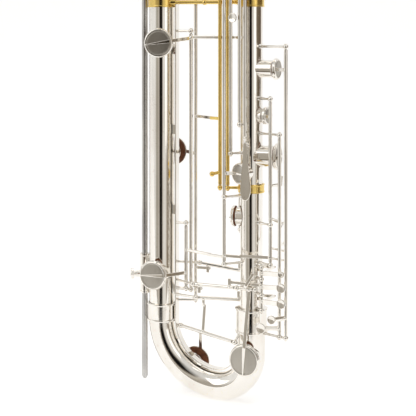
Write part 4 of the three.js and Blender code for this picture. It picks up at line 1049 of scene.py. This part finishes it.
def build_trim():
    gold_g, gold_l = HINGES["goldG"], HINGES["goldL"]
    z = gold_g.a.z
    wall = MAIN_TUBE + 2 * SEAT_GAP + BITE
    posts = [tube_post(MAIN_X, wall, gold_g.a, UP), tube_post(MAIN_X, wall, gold_l.a, UP)]
    piece("gold_collar", [collar(MAIN_X, MAIN_TUBE, z - 6, z + 6), posts], "gold")
    a, b = BRACE_START, BRACE_END
    along = (b - a).normalized()
    low, high = BRACE_HEIGHT - BRACE_HALF, BRACE_HEIGHT + BRACE_HALF
    collars = [collar(BELL_X, BELL_TUBE, low, high), collar(MAIN_X, MAIN_TUBE, low, high)]
    cones = [rod(end + way * 2, end + way * 9, 4.2, end_radius=3) for end, way in ((a, along), (b, -along))]
    piece("body_brace", [collars, rod(a, b, 3), ball((a + b) / 2, 4.2), cones], "gold")
    shelf = [point(MAIN_X, REAR + 1, THUMB_HEIGHT + 4), point(MAIN_X, REAR + 20, THUMB_HEIGHT),
             point(MAIN_X, REAR + 25, THUMB_HEIGHT - 9)]
    piece("thumb_rest", [saddle(THUMB_HEIGHT), lever(shelf, 14, 14, 2.6, UP)], "silver")
    eye = ring(point(MAIN_X, REAR + 11, EYE_HEIGHT), RIGHT, 8, 1.8)
    piece("strap_ring", [saddle(EYE_HEIGHT), eye], "silver")


# Bell

BELL_WALL = 1.5
BELL_STRAIGHT = 60
BELL_BEND = 170
BELL_TURN = 40
BELL_FLARE = 90
BELL_MOUTH = 90


def smooth_run(pairs, steps=6):
    """More points along a run of (radius, place) pairs, on smooth curves through them."""
    out = []
    for i in range(len(pairs) - 1):
        p0 = Vector(pairs[max(i - 1, 0)])
        p1, p2 = Vector(pairs[i]), Vector(pairs[i + 1])
        p3 = Vector(pairs[min(i + 2, len(pairs) - 1)])
        for k in range(steps):
            t = k / steps
            out.append(tuple(0.5 * ((2 * p1) + (p2 - p0) * t + (2 * p0 - 5 * p1 + 4 * p2 - p3) * t ** 2
                                    + (3 * p1 - p0 - 3 * p2 + p3) * t ** 3)))
    out.append(tuple(pairs[-1]))
    return out


def build_bell():
    """An open tube that leans forward and flares to a beaded mouth."""
    base = BELL_TUBE_TOP + SEAT_GAP
    path = Route(point(BELL_X, 0, base), FRONT.copy(), UP.copy(),
                 [(0, BELL_STRAIGHT), (BELL_BEND, BELL_TURN), (0, BELL_FLARE)])
    arc = BELL_BEND * math.radians(BELL_TURN)
    start = BELL_STRAIGHT + arc
    bends = [(BELL_TUBE + ((s - BELL_STRAIGHT) / arc) ** 1.5 * BELL_TUBE / 2, s)
             for s in heights(BELL_STRAIGHT, start, 5)]
    flare = [(BELL_MOUTH * share, start + BELL_FLARE * run)
             for run, share in ((0.22, 0.36), (0.44, 0.46), (0.64, 0.58), (0.8, 0.72), (0.92, 0.87), (1, 1))]
    outer = [(BELL_TUBE, 0)] + smooth_run(bends + flare, 5)
    inner = [(r - BELL_WALL, s) for r, s in reversed(outer)]
    bead = [(BELL_MOUTH - 0.1, path.length + 0.6), (BELL_MOUTH - 0.4, path.length + 1.3),
            (BELL_MOUTH - 1.1, path.length + 1.4)]
    profile = outer + bead + inner
    piece("bell", bend(revolve(profile, 112, closed=True), path), "silver")
    sleeve = ring_sleeve(BELL_X, BELL_TUBE + SEAT_GAP, BELL_TUBE_TOP - 13, BELL_TUBE_TOP + 13)
    piece("bell_ring", sleeve, "silver")


# Top bow and crook

TOP_BOW = 30
TOP_LEG = 105
NECK = 12.5
NECK_TIP = 10.5
NECK_TURN = 55
CORK = 12.4
INNER_X = MAIN_X - 2 * TOP_BOW
LEG_BOTTOM = MAIN_TUBE_TOP + SEAT_GAP - TOP_LEG
NECK_PATH = Route(point(INNER_X, 0, LEG_BOTTOM - SEAT_GAP), BACK.copy(), DOWN.copy(),
                  [(0, 26), (NECK_TURN, 115), (0, 52)])


def knob_screw(tip, way, reach, shank, knob):
    """A thumb screw: a shank and a round knob with a dished face."""
    seat = tip + way * reach
    edge = [(0, 0), (knob - 0.7, 0), (knob, 0.7), (knob, 4.3), (knob - 0.7, 5), (knob * 0.45, 5),
            (knob * 0.4, 4.3), (0, 4.3)]
    return [rod(tip, seat + way * BITE, shank, soft=0.3), aim(revolve(edge, 36, soft=0.3), seat, way)]


def build_crook():
    path = Route(point(MAIN_X, 0, MAIN_TUBE_TOP + SEAT_GAP), point(-1, 0, 0), UP.copy(),
                 [(TOP_BOW, 180), (0, TOP_LEG)])
    arc = TOP_BOW * math.radians(180)
    wall = [(MAIN_TUBE, s) for s in heights(0, arc, 48) + [path.length]]
    crook = bend(revolve([(0, 0)] + wall + [(0, path.length)], TUBE_SIDES), path)
    piece("top_bow", crook, "silver")
    sleeve = ring_sleeve(MAIN_X, MAIN_TUBE + SEAT_GAP, MAIN_TUBE_TOP - 13, MAIN_TUBE_TOP + 1)
    piece("top_bow_ring", sleeve, "silver")
    bore, wide = NECK + SEAT_GAP, MAIN_TUBE + SEAT_GAP
    top, low = LEG_BOTTOM + 20, LEG_BOTTOM - 24
    socket = [(bore, low), (bore + 3, low), (bore + 3, low + 3), (bore + 2.2, low + 4),
              (wide + 2, LEG_BOTTOM - 6), (wide + 2, top), (wide, top),
              (wide, LEG_BOTTOM - SEAT_GAP), (bore, LEG_BOTTOM - SEAT_GAP)]
    sleeve = revolve(socket, TUBE_SIDES, closed=True, soft=0.6).map(lambda p: p + point(INNER_X, 0, 0))
    way = point(-1, 0, 0)
    tip = point(INNER_X - NECK - SEAT_GAP, 0, LEG_BOTTOM - 14)
    boss = [(2.3, 1), (4.5, 1), (4.5, 8), (2.3, 8)]
    nut = aim(revolve(boss, 32, closed=True, soft=0.5), tip, way)
    piece("neck_socket", [sleeve, nut], "silver")
    piece("neck_screw", knob_screw(tip + way * SEAT_GAP, way, 9, 2, 7), "silver")
    taper = (NECK - NECK_TIP) / NECK_PATH.length
    stations = [0] + heights(26, NECK_PATH.length - 52, 34) + [NECK_PATH.length]
    neck = [(0, 0)] + [(NECK - taper * s, s) for s in stations] + [(0, NECK_PATH.length)]
    piece("neck", bend(revolve(neck, TUBE_SIDES), NECK_PATH), "silver")
    end = NECK_PATH.length - 2
    start = end - 24
    inside = NECK_TIP + taper * 26 + SEAT_GAP
    cork = [(inside, start), (CORK - 0.5, start), (CORK, start + 1.2), (CORK, end - 1.5), (CORK - 0.7, end),
            (inside, end)]
    piece("neck_cork", bend(revolve(cork, TUBE_SIDES, closed=True), NECK_PATH), "cork")


# Mouthpiece

MOUTH_LENGTH = 108
MOUTH_TABLE = 11
REED_WIDTH = 15


def build_mouthpiece():
    place, heading, _ = NECK_PATH.at(NECK_PATH.length - 22)
    outer = [(15.5, 0), (16.5, 2), (16.5, 10), (15, 13), (15.6, 60), (14.5, MOUTH_LENGTH)]
    spots = [0, 0.6, 2, 6, 10, 11.5, 13] + heights(16, MOUTH_LENGTH, 46)
    bore = CORK + SEAT_GAP
    sides = 72

    def radius_at(s):
        for (r0, s0), (r1, s1) in zip(outer, outer[1:]):
            if s <= s1:
                return r0 + (r1 - r0) * (s - s0) / (s1 - s0)
        return outer[-1][0]

    def section(s):
        r = radius_at(s)
        table = MOUTH_TABLE if s > 38 else MOUTH_TABLE + 6 * min(1.0, (38 - s) / 3)
        low = -20 + (s - 52) / (MOUTH_LENGTH - 52) * (MOUTH_TABLE - 2 + 20) if s > 52 else -40
        loop = []
        for k in range(sides):
            turn = 2 * math.pi * k / sides
            y = max(min(r * math.sin(turn), table), low)
            loop.append(point(r * math.cos(turn), y, s))
        return loop

    def circle(r, s):
        return [point(r * math.cos(2 * math.pi * k / sides), r * math.sin(2 * math.pi * k / sides), s)
                for k in range(sides)]

    socket = [circle(8, 26), circle(bore, 26), circle(bore, 0.5), circle(bore + 0.5, 0)]
    beak = loft(socket + [section(s) for s in spots])
    piece("mouthpiece", aim(beak, place, heading), "ebonite")
    low = MOUTH_TABLE + SEAT_GAP
    reed = []
    for s in heights(40, 80, 10) + heights(81, MOUTH_LENGTH - 1, 14):
        share = 0 if s <= 80 else (s - 80) / (MOUTH_LENGTH - 81)
        thick = 2.8 - 0.2 * (min(s, 80) - 40) / 40 - 2.1 * share ** 1.15
        half = REED_WIDTH / 2
        trim = half * (1 - 0.1 * max(0, share - 0.9) * 10)
        loop = [point(-trim, low, s), point(trim, low, s)]
        for k in range(13):
            u = 1 - 2 * k / 12
            crown = thick * (1 - 0.35 * u ** 2 * (1 - share))
            loop.append(point(trim * u, low + max(crown, 0.35), s))
        reed.append(loop)
    piece("reed", aim(loft(reed), place, heading), "cane")
    inner = 16.3
    thin, thick = inner + 0.8, inner + 1.2
    band = [(inner, 45), (thick, 45), (thick, 47.5), (thin, 48), (thin, 68), (thick, 68.5), (thick, 71),
            (inner, 71)]
    boss = block((10, 6, 22), (0, inner + 3.4, 58))
    piece("ligature", aim(revolve(band, 72, closed=True, soft=0.3), place, heading), "silver")
    body = frame["nodes"]["ligature"]["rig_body"]
    boss_piece = new_thing("ligature_boss", aim(boss, place, heading), "silver", body)
    for i, z in enumerate((50, 66)):
        shank = rod(point(-8, inner + 3.6, z), point(11, inner + 3.6, z), 1.6)
        knob = aim(revolve([(0, 0), (4.2, 0), (4.6, 0.5), (4.6, 4.4), (4, 5), (0, 5)], 40, soft=0.2),
                   point(9, inner + 3.6, z), RIGHT)
        piece(f"ligature_screw_{i + 1}", [aim(shank, place, heading), aim(knob, place, heading)], "silver")


# Floor pin

PIN_RADIUS = 4.4
PIN_X = BELL_X - 27
PIN_BOTTOM = 15.3
PIN_TOP = 700


def pin_guide(bottom, top):
    bore = PIN_RADIUS + SEAT_GAP
    outer = bore + 2.6
    profile = [(bore, bottom), (outer, bottom), (outer, bottom + 3), (outer - 0.6, bottom + 3.6),
               (outer - 0.6, top - 3.6), (outer, top - 3), (outer, top), (bore, top)]
    sleeve = revolve(profile, 48, closed=True, soft=0.4).map(lambda p: p + point(PIN_X, 0, 0))
    web = PIN_X + bore + 1
    wall = BELL_X - BELL_TUBE - SEAT_GAP
    return [sleeve, block((wall - web, 9, (top - bottom) * 0.7), ((wall + web) / 2, 0, (top + bottom) / 2))]


def build_pin():
    profile = [(0, PIN_BOTTOM), (PIN_RADIUS / 2, PIN_BOTTOM), (PIN_RADIUS, PIN_BOTTOM + PIN_RADIUS),
               (PIN_RADIUS, PIN_TOP - 0.5), (PIN_RADIUS - 0.5, PIN_TOP), (0, PIN_TOP)]
    piece("endpin", revolve(profile, 40, soft=0.5).map(lambda p: p + point(PIN_X, 0, 0)), "steel")
    way = point(-17, -10, 0).normalized()
    tip = point(PIN_X, 0, 165) + way * (PIN_RADIUS + SEAT_GAP)
    boss = [(2.8, 1), (5, 1), (5, 9), (2.8, 9)]
    nut = aim(revolve(boss, 32, closed=True, soft=0.5), tip, way)
    piece("endpin_socket", pin_guide(138, 194) + [nut], "silver")
    piece("endpin_guide", pin_guide(610, 634), "silver")
    piece("endpin_screw", knob_screw(tip + way * SEAT_GAP, way, 10.5, 2.4, 8), "silver")


# Materials


def feed(tree, value, socket):
    """A link from another node, or else a plain number or colour."""
    if isinstance(value, bpy.types.NodeSocket):
        tree.links.new(value, socket)
    else:
        socket.default_value = (*value, 1) if isinstance(value, tuple) else value


def ramp_node(tree, source, stops):
    node = tree.nodes.new("ShaderNodeValToRGB")
    elements = node.color_ramp.elements
    while len(elements) < len(stops):
        elements.new(0.5)
    for element, (position, colour) in zip(elements, stops):
        element.position = position
        element.color = (*colour, 1) if isinstance(colour, tuple) else (colour, colour, colour, 1)
    tree.links.new(source, node.inputs["Fac"])
    return node.outputs["Color"]


def mix_node(tree, factor, a, b):
    node = tree.nodes.new("ShaderNodeMix")
    node.data_type = "RGBA"
    for socket, value in ((node.inputs["Factor"], factor), (node.inputs[6], a), (node.inputs[7], b)):
        feed(tree, value, socket)
    return node.outputs[2]


def math_node(tree, operation, a, b):
    node = tree.nodes.new("ShaderNodeMath")
    node.operation = operation
    feed(tree, a, node.inputs[0])
    feed(tree, b, node.inputs[1])
    return node.outputs[0]


def dot_node(tree, a, way):
    node = tree.nodes.new("ShaderNodeVectorMath")
    node.operation = "DOT_PRODUCT"
    tree.links.new(a, node.inputs[0])
    node.inputs[1].default_value = way
    return node.outputs["Value"]


def range_node(tree, value, low, high):
    """Nought at low, one at high."""
    node = tree.nodes.new("ShaderNodeMapRange")
    node.inputs["From Min"].default_value = low
    node.inputs["From Max"].default_value = high
    tree.links.new(value, node.inputs["Value"])
    return node.outputs["Result"]


class Look:
    """A material whose colour, roughness and bump come from its own nodes."""

    def __init__(self, name, metallic):
        self.material = bpy.data.materials.new(name)
        self.material.use_nodes = True
        self.tree = self.material.node_tree
        self.shader = self.tree.nodes["Principled BSDF"]
        self.shader.inputs["Metallic"].default_value = metallic
        self.place = self.tree.nodes.new("ShaderNodeTexCoord").outputs["Object"]
        LOOKS[name] = self.material

    def scaled(self, scale):
        node = self.tree.nodes.new("ShaderNodeMapping")
        node.inputs["Scale"].default_value = scale
        self.tree.links.new(self.place, node.inputs["Vector"])
        return node.outputs["Vector"]

    def noise(self, scale, stretch=(1, 1, 1), detail=4.0):
        node = self.tree.nodes.new("ShaderNodeTexNoise")
        node.inputs["Scale"].default_value = scale
        node.inputs["Detail"].default_value = detail
        node.inputs["Roughness"].default_value = 0.55
        self.tree.links.new(self.scaled(stretch), node.inputs["Vector"])
        return node.outputs["Fac"]

    def cells(self, scale):
        node = self.tree.nodes.new("ShaderNodeTexVoronoi")
        node.inputs["Scale"].default_value = scale
        self.tree.links.new(self.scaled((1, 1, 1)), node.inputs["Vector"])
        return node.outputs["Distance"]

    def ramp(self, source, stops):
        return ramp_node(self.tree, source, stops)

    def colour(self, source):
        self.tree.links.new(source, self.shader.inputs["Base Color"])

    def roughness(self, source):
        self.tree.links.new(source, self.shader.inputs["Roughness"])

    def bump(self, source, strength, distance):
        node = self.tree.nodes.new("ShaderNodeBump")
        node.inputs["Strength"].default_value = strength
        node.inputs["Distance"].default_value = distance
        self.tree.links.new(source, node.inputs["Height"])
        self.tree.links.new(node.outputs["Normal"], self.shader.inputs["Normal"])


def plated(name, bright, dull, tarnish, low, high):
    """Polished plate: clouded tone, faint draw lines and a little tarnish."""
    look = Look(name, 1.0)
    clouds = look.noise(38, (1, 1, 0.35), 5)
    base = look.ramp(clouds, [(0.3, dull), (0.62, bright)])
    spots = look.ramp(look.noise(210, detail=3), [(0.62, 0.0), (0.78, 1.0)])
    look.colour(mix_node(look.tree, look.ramp(spots, [(0, 0.0), (1, 0.35)]), base, tarnish))
    smears = look.noise(90, (1, 1, 0.15), 6)
    look.roughness(look.ramp(smears, [(0.3, low), (0.75, high)]))
    look.bump(look.noise(420, (1, 1, 0.08), 3), 0.04, 0.0004)


def make_metals():
    plated("silver", (0.90, 0.87, 0.82), (0.80, 0.76, 0.70), (0.46, 0.38, 0.28), 0.05, 0.13)
    plated("gold", (0.86, 0.64, 0.22), (0.70, 0.48, 0.13), (0.38, 0.24, 0.08), 0.14, 0.28)
    plated("satin", (0.48, 0.45, 0.40), (0.41, 0.38, 0.335), (0.24, 0.20, 0.15), 0.32, 0.44)
    plated("steel", (0.62, 0.61, 0.59), (0.45, 0.44, 0.43), (0.25, 0.22, 0.18), 0.18, 0.36)
    # Painted shade for the screw slots: near-black with a faint speckle, standing in for the dark of the
    # recess.
    slot = Look("slot", 0.6)
    slot_shade_noise = slot.noise(300)
    slot.colour(slot.ramp(slot_shade_noise, [(0.3, (0.01, 0.01, 0.01)), (0.7, (0.05, 0.045, 0.04))]))
    slot.roughness(slot.ramp(slot_shade_noise, [(0.3, 0.5), (0.7, 0.8)]))


def make_soft_looks():
    leather = Look("leather", 0.0)
    tone = leather.noise(160, detail=5)
    leather.colour(leather.ramp(tone, [(0.3, (0.12, 0.035, 0.012)), (0.7, (0.30, 0.11, 0.04))]))
    leather.roughness(leather.ramp(tone, [(0.3, 0.45), (0.7, 0.7)]))
    leather.bump(leather.cells(900), 0.35, 0.0004)
    cork = Look("cork", 0.0)
    specks = cork.cells(700)
    browns = [(0.1, (0.22, 0.10, 0.04)), (0.35, (0.55, 0.33, 0.16)), (0.7, (0.66, 0.43, 0.22))]
    cork.colour(cork.ramp(specks, browns))
    cork.roughness(cork.ramp(cork.noise(300), [(0.3, 0.75), (0.7, 0.95)]))
    cork.bump(specks, 0.5, 0.0006)
    cane = Look("cane", 0.0)
    fibres = cane.noise(260, (1, 0.12, 0.12), 6)
    cane.colour(cane.ramp(fibres, [(0.3, (0.62, 0.46, 0.20)), (0.7, (0.82, 0.68, 0.38))]))
    cane.roughness(cane.ramp(fibres, [(0.3, 0.4), (0.7, 0.6)]))
    cane.bump(fibres, 0.2, 0.0003)
    ebonite = Look("ebonite", 0.0)
    haze = ebonite.noise(70, detail=5)
    ebonite.colour(ebonite.ramp(haze, [(0.35, (0.012, 0.012, 0.013)), (0.7, (0.03, 0.028, 0.026))]))
    ebonite.roughness(ebonite.ramp(haze, [(0.3, 0.16), (0.75, 0.34)]))
    ebonite.bump(ebonite.noise(900), 0.05, 0.0002)


# Stage, lights and camera, in metres

CAMERA_TURN = math.radians(22)
CAMERA_PLACE = (0.5811, -1.4928, 0.527)
CAMERA_LENS = 99.5
CAMERA_SENSOR = 36
CAMERA_SHIFT = (0.0084, -0.452)
TO_RIGHT = (math.cos(CAMERA_TURN), math.sin(CAMERA_TURN), 0)
TO_CAMERA = (math.sin(CAMERA_TURN), -math.cos(CAMERA_TURN), 0)

# The sheet: a floor that curves up into a backdrop away from the camera
FLOOR_DROP = 0.0008
SHEET_FRONT = -0.38
SHEET_BACK = 2.6
SHEET_HALF = 6.0
SHEET_RISE = 5.0
SHEET_CURVE = 0.9
SHEET_STEPS = 12
SHEET_TONE = 0.86
SHEET_GLOW = 0.46

# What the metal sees round the room: degrees round from the camera, to its right, and the tone there
ROOM = [
    (-180, (0.85, 0.85, 0.85)), (-128, (0.66, 0.64, 0.61)), (-106, (0.86, 0.86, 0.85)),
    (-62, (0.88, 0.87, 0.85)), (-50, (0.46, 0.43, 0.38)), (-40, (0.40, 0.37, 0.32)),
    (-30, (0.62, 0.58, 0.52)), (-21, (0.10, 0.08, 0.06)), (-17, (0.003, 0.003, 0.003)),
    (-2, (0.003, 0.003, 0.003)), (3, (0.10, 0.085, 0.07)), (9, (0.60, 0.57, 0.53)),
    (15, (0.82, 0.80, 0.77)), (34, (0.80, 0.78, 0.74)), (48, (0.32, 0.27, 0.21)),
    (60, (0.17, 0.135, 0.095)), (100, (0.12, 0.09, 0.062)), (116, (0.24, 0.195, 0.15)),
    (140, (0.74, 0.72, 0.70)), (180, (0.85, 0.85, 0.85)),
]
CEILING = (0.76, 0.76, 0.75)
CEILING_FADE = (0.45, 0.8)
CARPET = (0.11, 0.085, 0.06)
CARPET_FADE = (-0.33, -0.55)
WHITE = (1, 1, 1)
SWAY = 0.05
SWAY_SCALE = 2.4

# Soft lamps: name, place, where it looks, size and watts
LAMPS = [
    ("key", (-1.3, -1.9, 1.7), (0, 0, 0.4), (1.3, 2.0), 10),
    ("fill", (2.2, -1.2, 1.1), (0, 0, 0.4), (1.0, 2.2), 5),
    ("top", (0.2, 0.4, 2.8), (0, 0, 0.3), (2.2, 1.6), 10),
]


def sheet_look():
    """Pale and matt, white where the camera or a reflection sees it, and clear from its back."""
    material = bpy.data.materials.new("floor")
    material.use_nodes = True
    tree = material.node_tree
    shader = tree.nodes["Principled BSDF"]
    shader.inputs["Base Color"].default_value = (SHEET_TONE, SHEET_TONE, SHEET_TONE, 1)
    shader.inputs["Roughness"].default_value = 1.0
    shader.inputs["Specular IOR Level"].default_value = 0.0
    shader.inputs["Emission Color"].default_value = (*WHITE, 1)
    path = tree.nodes.new("ShaderNodeLightPath").outputs
    seen = math_node(tree, "MAXIMUM", path["Is Camera Ray"], path["Is Glossy Ray"])
    seen = math_node(tree, "MAXIMUM", seen, path["Is Transmission Ray"])
    tree.links.new(math_node(tree, "MULTIPLY", seen, SHEET_GLOW), shader.inputs["Emission Strength"])
    sides = tree.nodes.new("ShaderNodeMixShader")
    tree.links.new(tree.nodes.new("ShaderNodeNewGeometry").outputs["Backfacing"], sides.inputs[0])
    tree.links.new(shader.outputs[0], sides.inputs[1])
    tree.links.new(tree.nodes.new("ShaderNodeBsdfTransparent").outputs[0], sides.inputs[2])
    tree.links.new(sides.outputs[0], tree.nodes["Material Output"].inputs["Surface"])
    return material


def build_stage():
    outline = [(SHEET_FRONT, -FLOOR_DROP)]
    for i in range(SHEET_STEPS + 1):
        turn = math.radians(90 * i / SHEET_STEPS)
        outline.append((SHEET_BACK - SHEET_CURVE + SHEET_CURVE * math.sin(turn),
                        -FLOOR_DROP + SHEET_CURVE * (1 - math.cos(turn))))
    outline.append((SHEET_BACK, SHEET_RISE))
    points = [(x * TO_RIGHT[0] - y * TO_CAMERA[0], x * TO_RIGHT[1] - y * TO_CAMERA[1], z)
              for x in (-SHEET_HALF, SHEET_HALF) for y, z in outline]
    count = len(outline)
    faces = [(i, count + i, count + i + 1, i + 1) for i in range(count - 1)]
    mesh = bpy.data.meshes.new("floor")
    mesh.from_pydata(points, [], faces)
    mesh.polygons.foreach_set("use_smooth", [True] * len(faces))
    mesh.materials.append(sheet_look())
    floor = bpy.data.objects.new("floor", mesh)
    bpy.context.scene.collection.objects.link(floor)


def build_room():
    """Soft tones with narrow dark gaps, which only the metal sees; the camera sees white."""
    world = bpy.data.worlds.new("room")
    bpy.context.scene.world = world
    world.use_nodes = True
    tree = world.node_tree
    where = tree.nodes.new("ShaderNodeTexCoord").outputs["Generated"]
    turn = math_node(tree, "ARCTAN2", dot_node(tree, where, TO_RIGHT), dot_node(tree, where, TO_CAMERA))
    wave = tree.nodes.new("ShaderNodeTexNoise")
    wave.inputs["Scale"].default_value = SWAY_SCALE
    wave.inputs["Detail"].default_value = 1.0
    tree.links.new(where, wave.inputs["Vector"])
    sway = math_node(tree, "MULTIPLY", wave.outputs["Fac"], SWAY)
    share = math_node(tree, "ADD", math_node(tree, "DIVIDE", turn, 2 * math.pi), 0.5 - SWAY / 2)
    share = math_node(tree, "ADD", share, sway)
    tone = ramp_node(tree, share, [(degrees / 360 + 0.5, colour) for degrees, colour in ROOM])
    rise = dot_node(tree, where, (0, 0, 1))
    tone = mix_node(tree, range_node(tree, rise, *CEILING_FADE), tone, CEILING)
    tone = mix_node(tree, range_node(tree, rise, *CARPET_FADE), tone, CARPET)
    seen = tree.nodes.new("ShaderNodeLightPath").outputs["Is Camera Ray"]
    tree.links.new(mix_node(tree, seen, tone, WHITE), tree.nodes["Background"].inputs["Color"])


def build_lamps():
    for name, place, target, size, power in LAMPS:
        data = bpy.data.lights.new(name, "AREA")
        data.shape = "RECTANGLE"
        data.size, data.size_y = size
        data.energy = power
        lamp = bpy.data.objects.new(name, data)
        lamp.location = place
        lamp.rotation_euler = (Vector(target) - Vector(place)).to_track_quat("-Z", "Y").to_euler()
        bpy.context.scene.collection.objects.link(lamp)


def build_camera():
    data = bpy.data.cameras.new("camera")
    data.sensor_width = CAMERA_SENSOR
    data.lens = CAMERA_LENS
    data.shift_x, data.shift_y = CAMERA_SHIFT
    camera = bpy.data.objects.new("camera", data)
    camera.location = CAMERA_PLACE
    ahead = Vector((-TO_CAMERA[0], -TO_CAMERA[1], 0))
    camera.rotation_euler = ahead.to_track_quat("-Z", "Y").to_euler()
    bpy.context.scene.collection.objects.link(camera)
    bpy.context.scene.camera = camera


make_metals()
make_soft_looks()
build_tubes()
build_bow()
build_rings()
build_strap()
build_low_keys()
build_bars()
build_touches()
build_stack_keys()
build_gold_keys()
build_side_keys()
build_trim()
build_bell()
build_crook()
build_mouthpiece()
build_pin()
build_stage()
build_room()
build_lamps()
build_camera()

bpy.context.scene.view_settings.view_transform = "Standard"
